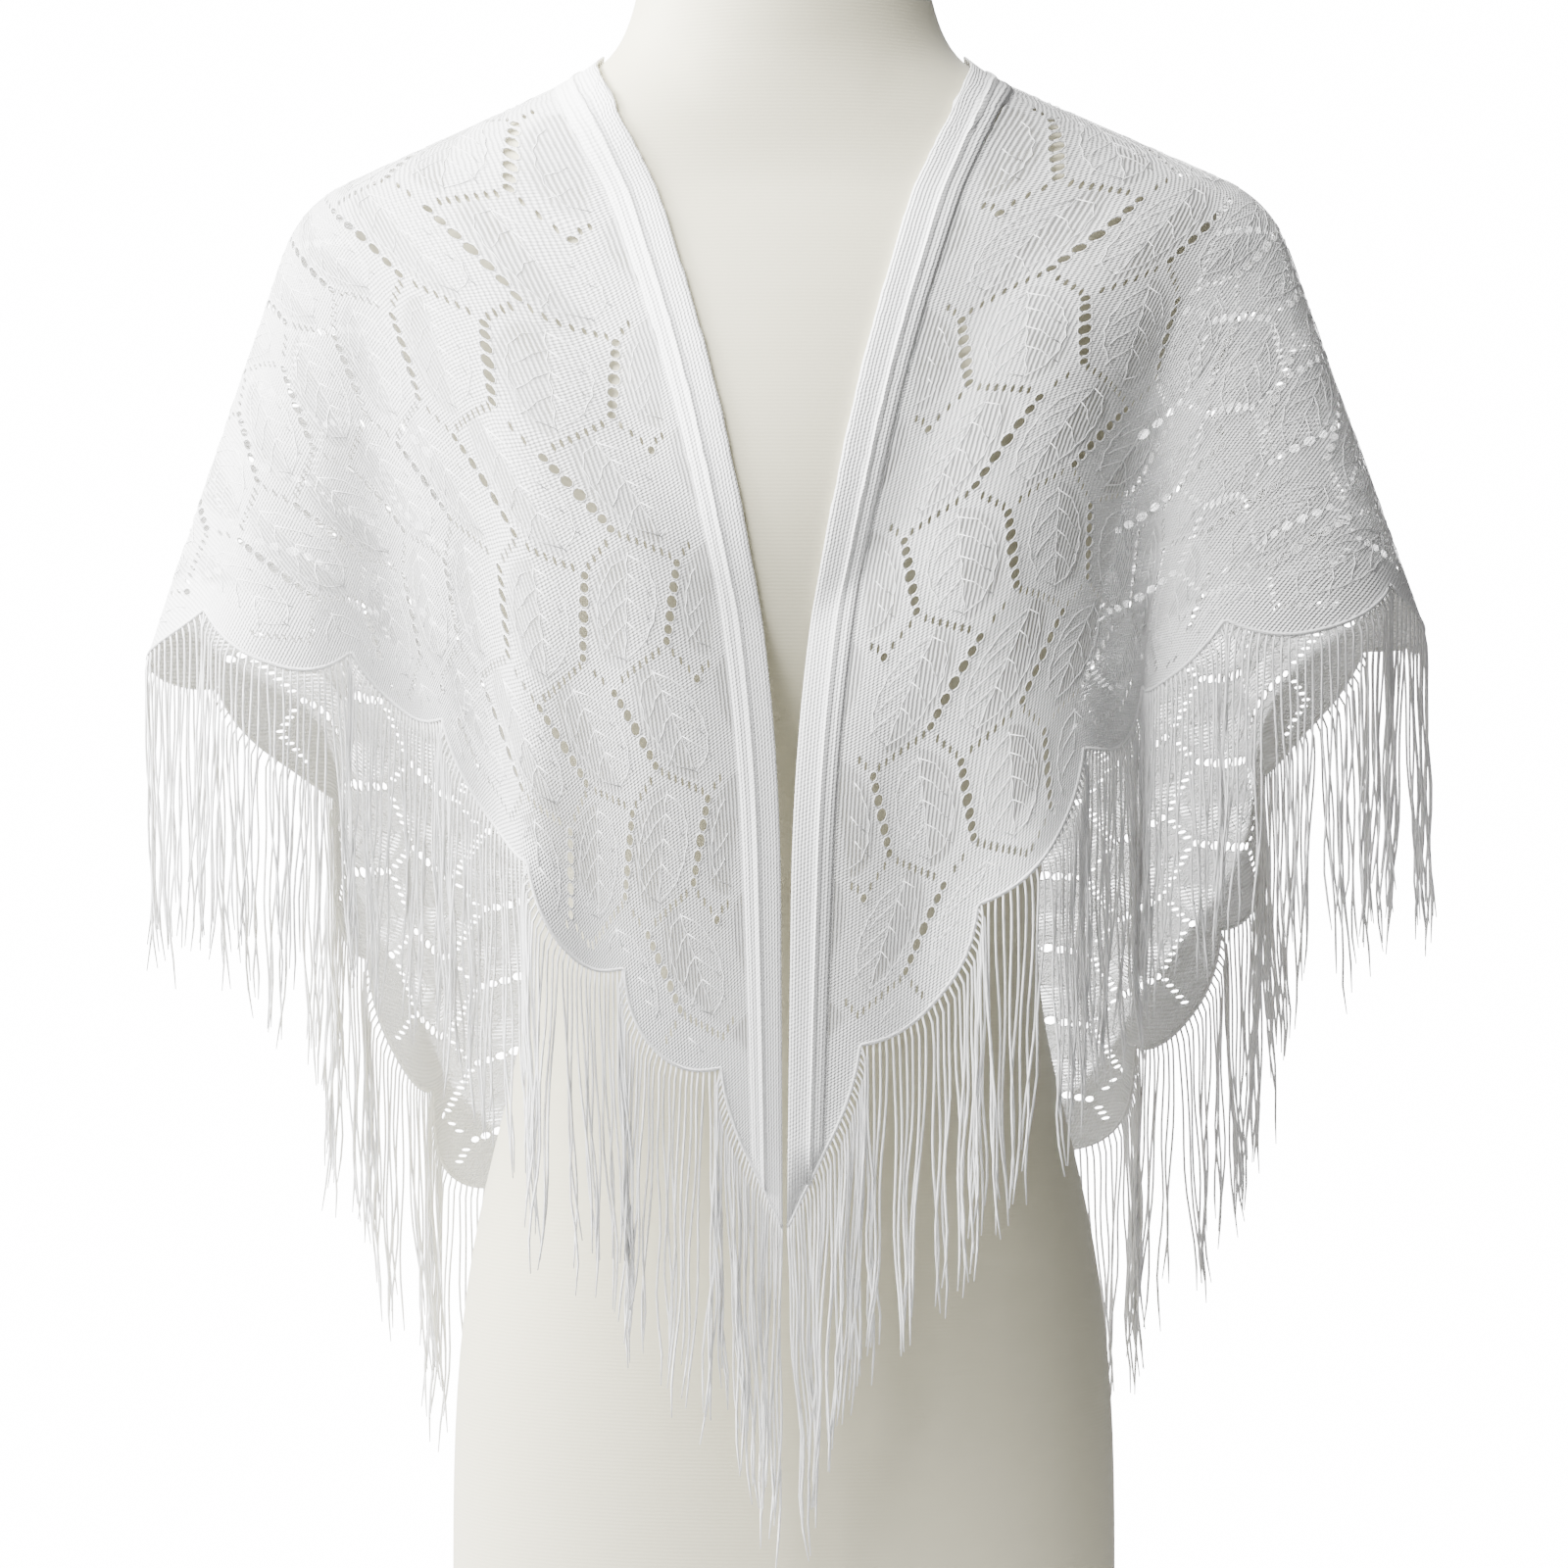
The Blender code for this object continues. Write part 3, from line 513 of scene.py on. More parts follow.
class NodeGroups:
    """Shader effects that several finishes share."""

    leaf_width: float = 0.42
    leaf_sharpness: float = 12.0
    border_sharpness: float = 200.0
    patch_scale: float = 55.0
    patch_from: float = 0.35
    patch_sharpness: float = 3.5
    gap_below: float = 0.42
    gap_sharpness: float = 4.0
    border_thinness: float = 0.3

    def __init__(self, openwork: "Openwork") -> None:
        """Build each shared effect once.

        Args:
            openwork: the lattice of the leaves.
        """
        self.leaf_half = self.build_leaf_half(openwork)
        self.ribs = self.build_ribs()
        self.fuzz = self.build_fuzz()
        self.ground = self.build_ground()

    @staticmethod
    def start_group(name: str, sockets: tuple[tuple[str, str, str, float], ...]) -> bpy.types.NodeTree:
        """Open a shader group with named sockets.

        Args:
            name: the group's name.
            sockets: name, direction, kind and default value of each socket.

        Returns:
            The group's tree, with its input and output nodes.
        """
        tree = bpy.data.node_groups.new(name, "ShaderNodeTree")
        for label, direction, kind, default in sockets:
            socket = tree.interface.new_socket(label, in_out=direction, socket_type=kind)
            if kind == "NodeSocketFloat":
                socket.default_value = default
        tree.nodes.new("NodeGroupInput").name = "in"
        tree.nodes.new("NodeGroupOutput").name = "out"
        return tree

    @classmethod
    def build_ribs(cls) -> bpy.types.NodeTree:
        """Fine ribs at a pitch across one direction of the cut, broken up like hand-made cloth."""
        tree = cls.start_group("broken_ribs", (
            ("Vector", "INPUT", "NodeSocketVector", 0.0),
            ("Scale", "INPUT", "NodeSocketFloat", 100.0),
            ("Distortion", "INPUT", "NodeSocketFloat", 1.0),
            ("Height", "OUTPUT", "NodeSocketFloat", 0.0)))
        wave = tree.nodes.new("ShaderNodeTexWave")
        wave.bands_direction = "Y"
        wave.inputs["Detail"].default_value = 2.0
        wave.inputs["Detail Scale"].default_value = 1.4
        tree.links.new(tree.nodes["in"].outputs["Vector"], wave.inputs["Vector"])
        tree.links.new(tree.nodes["in"].outputs["Scale"], wave.inputs["Scale"])
        tree.links.new(tree.nodes["in"].outputs["Distortion"], wave.inputs["Distortion"])
        tree.links.new(wave.outputs["Fac"], tree.nodes["out"].inputs["Height"])
        return tree

    @classmethod
    def build_fuzz(cls) -> bpy.types.NodeTree:
        """Soft uneven tone of yarn or jersey."""
        tree = cls.start_group("yarn_fuzz", (
            ("Vector", "INPUT", "NodeSocketVector", 0.0),
            ("Scale", "INPUT", "NodeSocketFloat", 300.0),
            ("Strength", "INPUT", "NodeSocketFloat", 0.1),
            ("Tone", "OUTPUT", "NodeSocketFloat", 1.0)))
        noise = tree.nodes.new("ShaderNodeTexNoise")
        noise.inputs["Detail"].default_value = 4.0
        sockets = tree.nodes["in"].outputs
        tree.links.new(sockets["Vector"], noise.inputs["Vector"])
        tree.links.new(sockets["Scale"], noise.inputs["Scale"])
        centred = cls.calculate(tree, "SUBTRACT", noise.outputs["Fac"], 0.5)
        tone = cls.calculate(tree, "MULTIPLY_ADD", centred, sockets["Strength"], 1.0)
        tree.links.new(tone, tree.nodes["out"].inputs["Tone"])
        return tree

    @staticmethod
    def calculate(tree: bpy.types.NodeTree, operation: str, *values: bpy.types.NodeSocket | float,
                  clamp: bool = False) -> bpy.types.NodeSocket:
        """Add a sum to a tree.

        Args:
            tree: the tree.
            operation: the kind of sum.
            values: its sockets or plain numbers.
            clamp: whether the result is held between 0 and 1.

        Returns:
            The result's socket.
        """
        node = tree.nodes.new("ShaderNodeMath")
        node.operation = operation
        node.use_clamp = clamp
        for socket, value in zip(node.inputs, values):
            if isinstance(value, bpy.types.NodeSocket):
                tree.links.new(value, socket)
            else:
                socket.default_value = value
        return node.outputs[0]

    @staticmethod
    def tint(tree: bpy.types.NodeTree, colour: tuple[float, float, float],
             tone: bpy.types.NodeSocket) -> None:
        """Feed the base colour with a colour times a tone.

        Args:
            tree: the material's tree.
            colour: the yarn's own colour.
            tone: how light each spot is: the yarn's uneven tone, and in the yarn finishes also painted shade
                between the ribs.
        """
        mix = tree.nodes.new("ShaderNodeMix")
        mix.data_type = "RGBA"
        mix.blend_type = "MULTIPLY"
        mix.inputs["Factor"].default_value = 1.0
        mix.inputs["A"].default_value = (*colour, 1.0)
        tree.links.new(tone, mix.inputs["B"])
        tree.links.new(mix.outputs["Result"], tree.nodes["Principled BSDF"].inputs["Base Color"])

    @classmethod
    def build_leaf_half(cls, openwork: "Openwork") -> bpy.types.NodeTree:
        """Masks of each leaf's open half, past its midrib, and of the cloth inside the hem's border.

        Args:
            openwork: the lattice of the leaves.

        Returns:
            The effect's tree.
        """
        tree = cls.start_group("leaf_half", (
            ("Vector", "INPUT", "NodeSocketVector", 0.0),
            ("Mask", "OUTPUT", "NodeSocketFloat", 0.0),
            ("Inner", "OUTPUT", "NodeSocketFloat", 1.0)))
        split = tree.nodes.new("ShaderNodeSeparateXYZ")
        tree.links.new(tree.nodes["in"].outputs["Vector"], split.inputs["Vector"])
        along = cls.calculate(tree, "ABSOLUTE", split.outputs["X"])
        rows = cls.calculate(tree, "DIVIDE", along, openwork.row_pitch)
        row = cls.calculate(tree, "ROUND", rows)
        way = cls.calculate(tree, "MULTIPLY", cls.calculate(tree, "SUBTRACT", rows, row), 2.0)
        odd = cls.calculate(tree, "PINGPONG", row, 1.0)
        even_mean = 0.5 * (openwork.odd_valley + openwork.even_peak)
        even_slope = 0.5 * (openwork.even_peak - openwork.odd_valley)
        odd_mean = 0.5 * (openwork.even_valley + openwork.odd_peak)
        odd_slope = 0.5 * (openwork.odd_peak - openwork.even_valley)
        mean = cls.calculate(tree, "MULTIPLY_ADD", odd, odd_mean - even_mean, even_mean)
        slope = cls.calculate(tree, "MULTIPLY_ADD", odd, odd_slope - even_slope, even_slope)
        middle = cls.calculate(tree, "MULTIPLY_ADD", slope, way, mean)
        from_band = cls.calculate(tree, "SUBTRACT", split.outputs["Y"], openwork.cut.band_width)
        columns = cls.calculate(tree, "DIVIDE", from_band, openwork.column_pitch)
        phase = cls.calculate(tree, "FRACT", cls.calculate(tree, "SUBTRACT", columns, middle))
        past_midrib = cls.calculate(tree, "SUBTRACT", phase, 0.5)
        side = cls.calculate(tree, "MULTIPLY_ADD", past_midrib, cls.leaf_sharpness, 0.5, clamp=True)
        squared = cls.calculate(tree, "POWER", way, 2.0)
        bow = cls.calculate(tree, "SQRT", cls.calculate(tree, "SUBTRACT", 1.0, squared))
        leaf_edge = cls.calculate(tree, "MULTIPLY", bow, cls.leaf_width)
        room = cls.calculate(tree, "SUBTRACT", leaf_edge, past_midrib)
        tip = cls.calculate(tree, "MULTIPLY_ADD", room, cls.leaf_sharpness, 0.5, clamp=True)
        mask = cls.calculate(tree, "MULTIPLY", side, tip)
        cut = openwork.cut
        fall = cls.calculate(tree, "MULTIPLY_ADD", along, -cut.hem_slope,
                             cut.centre_depth() - openwork.border)
        within = cls.calculate(tree, "SUBTRACT", fall, split.outputs["Y"])
        inner = cls.calculate(tree, "MULTIPLY", within, cls.border_sharpness, clamp=True)
        tree.links.new(cls.calculate(tree, "MULTIPLY", mask, inner), tree.nodes["out"].inputs["Mask"])
        tree.links.new(inner, tree.nodes["out"].inputs["Inner"])
        return tree

    @classmethod
    def build_ground(cls) -> bpy.types.NodeTree:
        """How much yarn covers each spot: thin all over, with gaps between the ribs in the open halves."""
        tree = cls.start_group("net_ground", (
            ("Vector", "INPUT", "NodeSocketVector", 0.0),
            ("Height", "INPUT", "NodeSocketFloat", 0.5),
            ("Mask", "INPUT", "NodeSocketFloat", 0.5),
            ("Inner", "INPUT", "NodeSocketFloat", 1.0),
            ("Openness", "INPUT", "NodeSocketFloat", 0.5),
            ("Thinness", "INPUT", "NodeSocketFloat", 0.1),
            ("Cover", "OUTPUT", "NodeSocketFloat", 1.0)))
        sockets = tree.nodes["in"].outputs
        patches = tree.nodes.new("ShaderNodeTexNoise")
        patches.inputs["Scale"].default_value = cls.patch_scale
        patches.inputs["Detail"].default_value = 2.0
        tree.links.new(sockets["Vector"], patches.inputs["Vector"])
        above = cls.calculate(tree, "SUBTRACT", patches.outputs["Fac"], cls.patch_from)
        uneven = cls.calculate(tree, "MULTIPLY", above, cls.patch_sharpness, clamp=True)
        below = cls.calculate(tree, "SUBTRACT", cls.gap_below, sockets["Height"])
        gap = cls.calculate(tree, "MULTIPLY", below, cls.gap_sharpness, clamp=True)
        patch = cls.calculate(tree, "MULTIPLY", cls.calculate(tree, "MULTIPLY", uneven, sockets["Mask"]), gap)
        opened = cls.calculate(tree, "MULTIPLY", patch, sockets["Openness"])
        spread = cls.calculate(tree, "MULTIPLY_ADD", sockets["Inner"], 1.0 - cls.border_thinness,
                               cls.border_thinness)
        even = cls.calculate(tree, "MULTIPLY", sockets["Thinness"], spread)
        cover = cls.calculate(tree, "SUBTRACT", cls.calculate(tree, "SUBTRACT", 1.0, opened), even)
        tree.links.new(cover, tree.nodes["out"].inputs["Cover"])
        return tree


@dataclass(frozen=True)
class YarnFinish:
    """White cotton yarn worked into cloth or hung as fringe, with painted shade in the valleys between its
    ribs, deepest in the lace's open leaf halves.
    """

    name: str
    colour: tuple[float, float, float]
    roughness: float
    rib_scale: float
    cross_scale: float
    rib_bump: float
    # Painted shade: how much darker the base colour is in the valleys between the ribs, standing in for their
    # shadow and for the dark inside seen through their gaps.
    painted_shade: float
    openness: float = 0.0
    thinness: float = 0.0
    on_cut: bool = True
    sheen: float = 0.25
    sheen_roughness: float = 0.4
    specular: float = 0.25
    rib_wander: float = 1.0
    cross_wander: float = 1.6
    cross_turn: float = 0.35 * math.pi
    cross_share: float = 0.45
    dense_cross_share: float = 0.75
    open_cross_share: float = 0.20
    fuzz_scale: float = 900.0
    fuzz_strength: float = 0.10
    bump_strength: float = 0.8
    # Rib height at which the painted shade ends.
    tone_full: float = 1.45
    # Shares of the painted shade in the dense leaf halves, and what the open halves add.
    dense_painted_shade: float = 0.7
    open_painted_shade: float = 1.3

    def material(self, groups: NodeGroups) -> bpy.types.Material:
        """Build the material.

        Args:
            groups: the shared effects.

        Returns:
            A node material.
        """
        material = bpy.data.materials.new(self.name)
        material.use_nodes = True
        tree = material.node_tree
        links = tree.links
        shader = tree.nodes["Principled BSDF"]
        shader.inputs["Roughness"].default_value = self.roughness
        shader.inputs["Sheen Weight"].default_value = self.sheen
        shader.inputs["Sheen Roughness"].default_value = self.sheen_roughness
        shader.inputs["Specular IOR Level"].default_value = self.specular
        if self.on_cut:
            source = tree.nodes.new("ShaderNodeUVMap")
            source.uv_map = CUT_MAP
            vector = source.outputs["UV"]
        else:
            vector = tree.nodes.new("ShaderNodeTexCoord").outputs["Object"]
        ribs = self.add_group(tree, groups.ribs, vector,
                              {"Scale": self.rib_scale, "Distortion": self.rib_wander})
        turn = tree.nodes.new("ShaderNodeMapping")
        turn.inputs["Rotation"].default_value = (0.0, 0.0, self.cross_turn)
        links.new(vector, turn.inputs["Vector"])
        cross = self.add_group(tree, groups.ribs, turn.outputs["Vector"],
                               {"Scale": self.cross_scale, "Distortion": self.cross_wander})
        fuzz = self.add_group(tree, groups.fuzz, vector,
                              {"Scale": self.fuzz_scale, "Strength": self.fuzz_strength})
        half = self.add_group(tree, groups.leaf_half, vector, {}) if self.openness else None
        cross_share = self.cross_share
        if half:
            cross_share = NodeGroups.calculate(tree, "MULTIPLY_ADD", half.outputs["Mask"],
                                               self.open_cross_share - self.dense_cross_share,
                                               self.dense_cross_share)
        crossed = NodeGroups.calculate(tree, "MULTIPLY", cross.outputs["Height"], cross_share)
        height = NodeGroups.calculate(tree, "ADD", crossed, ribs.outputs["Height"])
        bump = tree.nodes.new("ShaderNodeBump")
        bump.inputs["Strength"].default_value = self.bump_strength
        bump.inputs["Distance"].default_value = self.rib_bump
        links.new(height, bump.inputs["Height"])
        links.new(bump.outputs["Normal"], shader.inputs["Normal"])
        # Painted shade: the base colour darkens towards the rib valleys, and more in the leaves' open halves.
        tone = tree.nodes.new("ShaderNodeMapRange")
        tone.inputs["From Max"].default_value = self.tone_full
        tone.inputs["To Min"].default_value = 1.0 - self.painted_shade
        tone.inputs["To Max"].default_value = 1.0
        if half:
            deeper_painted_shade = NodeGroups.calculate(tree, "MULTIPLY_ADD", half.outputs["Mask"],
                                          -self.open_painted_shade * self.painted_shade, 1.0 - self.dense_painted_shade * self.painted_shade)
            links.new(deeper_painted_shade, tone.inputs["To Min"])
        links.new(height, tone.inputs["Value"])
        both = NodeGroups.calculate(tree, "MULTIPLY", tone.outputs["Result"], fuzz.outputs["Tone"])
        NodeGroups.tint(tree, self.colour, both)
        if self.openness:
            ground = self.add_group(tree, groups.ground, vector,
                                    {"Openness": self.openness, "Thinness": self.thinness})
            links.new(half.outputs["Mask"], ground.inputs["Mask"])
            links.new(half.outputs["Inner"], ground.inputs["Inner"])
            links.new(ribs.outputs["Height"], ground.inputs["Height"])
            links.new(ground.outputs["Cover"], shader.inputs["Alpha"])
        return material

    @staticmethod
    def add_group(tree: bpy.types.NodeTree, group: bpy.types.NodeTree, vector: bpy.types.NodeSocket,
                  values: dict[str, float]) -> bpy.types.Node:
        """Place a shared effect in a material.

        Args:
            tree: the material's tree.
            group: the effect.
            vector: the places that it reads.
            values: its number inputs.

        Returns:
            The new group node.
        """
        node = tree.nodes.new("ShaderNodeGroup")
        node.node_tree = group
        tree.links.new(vector, node.inputs["Vector"])
        for label, value in values.items():
            node.inputs[label].default_value = value
        return node


@dataclass(frozen=True)
class JerseyFinish:
    """Cream jersey stretched over the form, with a fine knit and a soft satin light."""

    name: str = "cream_jersey"
    colour: tuple[float, float, float] = (0.64, 0.605, 0.45)
    roughness: float = 0.55
    sheen: float = 0.3
    specular: float = 0.3
    knit_scale: float = 190.0
    knit_wander: float = 1.6
    knit_strength: float = 0.12
    knit_depth: float = 0.0002
    fuzz_scale: float = 70.0
    fuzz_strength: float = 0.05

    def material(self, groups: NodeGroups) -> bpy.types.Material:
        """Build the material.

        Args:
            groups: the shared effects.

        Returns:
            A node material.
        """
        material = bpy.data.materials.new(self.name)
        material.use_nodes = True
        tree = material.node_tree
        links = tree.links
        shader = tree.nodes["Principled BSDF"]
        shader.inputs["Roughness"].default_value = self.roughness
        shader.inputs["Sheen Weight"].default_value = self.sheen
        shader.inputs["Specular IOR Level"].default_value = self.specular
        vector = tree.nodes.new("ShaderNodeTexCoord").outputs["Object"]
        turn = tree.nodes.new("ShaderNodeMapping")
        turn.inputs["Rotation"].default_value = (0.5 * math.pi, 0.0, 0.0)
        links.new(vector, turn.inputs["Vector"])
        knit = YarnFinish.add_group(tree, groups.ribs, turn.outputs["Vector"],
                                    {"Scale": self.knit_scale, "Distortion": self.knit_wander})
        fuzz = YarnFinish.add_group(tree, groups.fuzz, vector,
                                    {"Scale": self.fuzz_scale, "Strength": self.fuzz_strength})
        bump = tree.nodes.new("ShaderNodeBump")
        bump.inputs["Strength"].default_value = self.knit_strength
        bump.inputs["Distance"].default_value = self.knit_depth
        links.new(knit.outputs["Height"], bump.inputs["Height"])
        links.new(bump.outputs["Normal"], shader.inputs["Normal"])
        NodeGroups.tint(tree, self.colour, fuzz.outputs["Tone"])
        return material


@dataclass
class Openwork:
    """The eyelets of the lace: chains of ovals down the leaves, and rows of slits across them."""

    cut: ScarfCut
    row_pitch: float = 0.053
    column_pitch: float = 0.034
    row_rise: float = 0.0145
    odd_peak: float = 0.0
    odd_valley: float = 0.40
    even_peak: float = 0.70
    even_valley: float = 0.42
    centre_phase: float = 0.55
    half_chain: tuple[tuple[float, float], ...] = ((0.0062, 0.0040), (0.0055, 0.0036), (0.0048, 0.0032),
                                                   (0.0041, 0.0028))
    oval_sides: int = 8
    slit_sides: int = 6
    bridge: float = 0.0006
    slit_length: float = 0.0046
    slit_width: float = 0.0013
    slit_pitch: float = 0.0027
    oval_margin: float = 0.012
    slit_margin: float = 0.006
    border: float = 0.014
    neck_margin: float = 0.012
    hem_steps: int = 12
    seam_pitch: float = 0.02

    def boundary_phases(self, boundary: int) -> tuple[float, float]:
        """Where a boundary between two rows has its peak and its valley, as shares of a column."""
        if boundary % 2:
            return self.odd_peak, self.odd_valley
        return self.even_peak, self.even_valley

    def chain(self) -> list[tuple[float, float, float]]:
        """One chain of ovals: distance from its middle, length and width, the largest first."""
        length, width = self.half_chain[0]
        found = [(0.0, length, width)]
        reach = 0.5 * length
        for length, width in self.half_chain[1:]:
            at = reach + self.bridge + 0.5 * length
            reach = at + 0.5 * length
            found += [(-at, length, width), (at, length, width)]
        return found

    def ovals(self) -> list[tuple[float, float, float, float]]:
        """Ovals of the right half, as place, length and width."""
        found = []
        rows = math.ceil(self.cut.half_length() / self.row_pitch)
        columns = math.ceil(self.cut.centre_depth() / self.column_pitch) + 2
        run = self.row_pitch - self.row_rise
        for row in range(rows):
            _, start = self.boundary_phases(row - 1)
            end, _ = self.boundary_phases(row)
            if row == 0:
                start = end = self.centre_phase
            if end - start > 0.5:
                start += 1.0
            for column in range(-1, columns):
                for offset, length, width in self.chain():
                    along = row * self.row_pitch + offset
                    phase = 0.5 * (start + end) + (end - start) * offset / run
                    deep = self.cut.band_width + (column + phase) * self.column_pitch
                    if along >= -1e-9:
                        found.append((along, deep, length, width))
        return found

    def leaf_place(self, row: int, column: int, way: float, width: float) -> tuple[float, float]:
        """A flat place in one leaf, which lies between two chains.

        Args:
            row: the leaf's row.
            column: the chain on its side near the long edge.
            way: share of the leaf's half length, from -1 to 1.
            width: share of the leaf's width, from -0.5 to 0.5.

        Returns:
            The flat place on the right half.
        """
        _, start = self.boundary_phases(row - 1)
        end, _ = self.boundary_phases(row)
        if row == 0:
            start = end = self.centre_phase
        if end - start > 0.5:
            start += 1.0
        phase = 0.5 * (start + end) + 0.5 * (end - start) * way + 0.5 + width
        deep = self.cut.band_width + (column + phase) * self.column_pitch
        return row * self.row_pitch + 0.5 * self.row_pitch * way, deep

    def slits(self) -> list[tuple[float, float, float, float]]:
        """Slits of the right half, as place, length and width."""
        found = []
        rows = math.ceil(self.cut.half_length() / self.row_pitch) + 1
        count = int(self.cut.centre_depth() / self.slit_pitch) + 4
        for boundary in range(rows):
            peak, valley = self.boundary_phases(boundary)
            fall = (valley - peak) % 1.0
            for number in range(count):
                deep = self.cut.band_width + number * self.slit_pitch
                phase = ((deep - self.cut.band_width) / self.column_pitch - peak) % 1.0
                height = phase / fall if phase < fall else (1.0 - phase) / (1.0 - fall)
                along = (boundary + 0.5) * self.row_pitch + self.row_rise * (height - 0.5)
                found.append((along, deep, self.slit_length, self.slit_width))
        return found

    def holes(self) -> list[np.ndarray]:
        """Outlines of every eyelet on both halves, none touching another or an edge.

        Returns:
            Closed flat outlines.
        """
        ovals = self.ovals()
        slits = self.slits()
        kinds = [Eyelet.OVAL] * len(ovals) + [Eyelet.SLIT] * len(slits)
        places = np.array(ovals + slits)
        outline = np.array(self.cut.outline(self.hem_steps, self.seam_pitch))
        margins = np.array([self.oval_margin if kind is Eyelet.OVAL else self.slit_margin for kind in kinds])
        keep = inside(outline, places[:, :2]) & (distance_to(outline, places[:, :2]) > margins)
        keep &= np.hypot(places[:, 0] - self.cut.neck_run, places[:, 1]) > self.neck_margin
        chosen = []
        for number in np.flatnonzero(keep):
            hole = places[number]
            if 1e-9 < hole[0] < 0.5 * (hole[2] + self.bridge):
                continue
            if chosen:
                others = places[chosen]
                reach_along = 0.5 * (others[:, 2] + hole[2]) + 0.5 * self.bridge
                reach_deep = 0.5 * (others[:, 3] + hole[3]) + self.bridge
                apart_along = (others[:, 0] - hole[0]) / reach_along
                apart_deep = (others[:, 1] - hole[1]) / reach_deep
                if np.hypot(apart_along, apart_deep).min() < 1.0:
                    continue
            chosen.append(number)
        outlines = []
        for number in chosen:
            along, deep, length, width = places[number]
            ring = self.ring(kinds[number], along, deep, length, width)
            outlines.append(ring)
            if along > 1e-9:
                outlines.append(ring[::-1] * OTHER_HALF)
        LOG.info("eyelets: %d", len(outlines))
        return outlines

    def ring(self, kind: Eyelet, along: float, deep: float, length: float, width: float) -> np.ndarray:
        """Outline of one eyelet.

        Args:
            kind: its shape.
            along: its middle down the long edge.
            deep: its middle across the cloth.
            length: its size down the long edge.
            width: its size across the cloth.

        Returns:
            A closed flat outline.
        """
        sides = self.oval_sides if kind is Eyelet.OVAL else self.slit_sides
        angles = 2 * math.pi * np.arange(sides) / sides
        return np.stack([along + 0.5 * length * np.cos(angles), deep + 0.5 * width * np.sin(angles)], axis=1)


def inside(polygon: np.ndarray, points: np.ndarray) -> np.ndarray:
    """Find which points lie inside a polygon.

    Args:
        polygon: its corners in order.
        points: flat places.

    Returns:
        True or false for each point.
    """
    result = np.zeros(len(points), dtype=bool)
    for (x0, y0), (x1, y1) in zip(polygon, np.roll(polygon, -1, axis=0)):
        if y0 == y1:
            continue
        crosses = (points[:, 1] > min(y0, y1)) & (points[:, 1] <= max(y0, y1))
        at = x0 + (points[:, 1] - y0) / (y1 - y0) * (x1 - x0)
        result ^= crosses & (points[:, 0] < at)
    return result


def distance_to(polygon: np.ndarray, points: np.ndarray) -> np.ndarray:
    """Distance of each point to the nearest side of a polygon.

    Args:
        polygon: its corners in order.
        points: flat places.

    Returns:
        One distance for each point.
    """
    nearest = np.full(len(points), np.inf)
    for start, end in zip(polygon, np.roll(polygon, -1, axis=0)):
        way = end - start
        share = np.clip((points - start) @ way / max(float(way @ way), 1e-12), 0.0, 1.0)
        nearest = np.minimum(nearest, np.linalg.norm(points - start - share[:, None] * way, axis=1))
    return nearest


@dataclass
class LaceWrap:
    """The openwork cloth, cut with every eyelet and carried over the form."""

    cut: ScarfCut
    drape: Drape
    wall: float = 0.0007
    sharp_angle: float = 40.0
    grid: float = 0.0085
    grid_from_edge: float = 0.4
    grid_from_eyelet: float = 0.0052
    seam_pitch: float = 0.010
    merge: float = 1e-7
    scallop_steps: int = 12

    def flat_sheet(self) -> tuple[np.ndarray, list[tuple[int, ...]]]:
        """Flat points and triangles of the cloth with its eyelets left out."""
        outline = np.array(self.cut.outline(self.scallop_steps, self.seam_pitch))
        holes = Openwork(self.cut).holes()
        points = [tuple(point) for point in outline]
        loops = [list(range(len(points)))]
        tree = KDTree(len(holes))
        for number, ring in enumerate(holes):
            centre = ring.mean(axis=0)
            tree.insert((centre[0], centre[1], 0.0), number)
            loops.append(list(range(len(points), len(points) + len(ring))))
            points.extend(tuple(point) for point in ring)
        tree.balance()
        columns = np.arange(-self.cut.half_length(), self.cut.half_length(), self.grid)
        rows = np.arange(self.cut.band_width, self.cut.half_length(), self.grid)
        grid = np.array([(column + (0.5 * self.grid if row % 2 else 0.0), deep)
                         for row, deep in enumerate(rows) for column in columns])
        keep = inside(outline, grid) & (distance_to(outline, grid) > self.grid_from_edge * self.grid)
        for point in grid[keep]:
            if tree.find((point[0], point[1], 0.0))[2] > self.grid_from_eyelet:
                points.append((float(point[0]), float(point[1])))
        corners = [Vector(point) for point in points]
        flat, _, triangles, _, _, owners = delaunay_2d_cdt(corners, [], loops, 1, self.merge)
        kept = [tuple(triangle) for triangle, owner in zip(triangles, owners) if owner == [0]]
        return np.array([tuple(point) for point in flat]), kept

    def build(self, material: bpy.types.Material) -> bpy.types.Object:
        """Make the lace and dress it.

        Args:
            material: the lace's finish.

        Returns:
            The finished piece.
        """
        flat, triangles = self.flat_sheet()
        used = np.unique(np.array(triangles))
        number = np.full(len(flat), -1)
        number[used] = np.arange(len(used))
        flat = flat[used]
        faces = [tuple(int(number[corner]) for corner in triangle) for triangle in triangles]
        piece = link_mesh("scarf_lace", self.drape.places(flat[:, 0], flat[:, 1]), faces)
        write_map(piece, flat)
        apply_solidify(piece, self.wall)
        bpy.ops.object.shade_smooth_by_angle(angle=math.radians(self.sharp_angle))
        finish_piece(piece, material, ("lace_wrap",))
        return piece


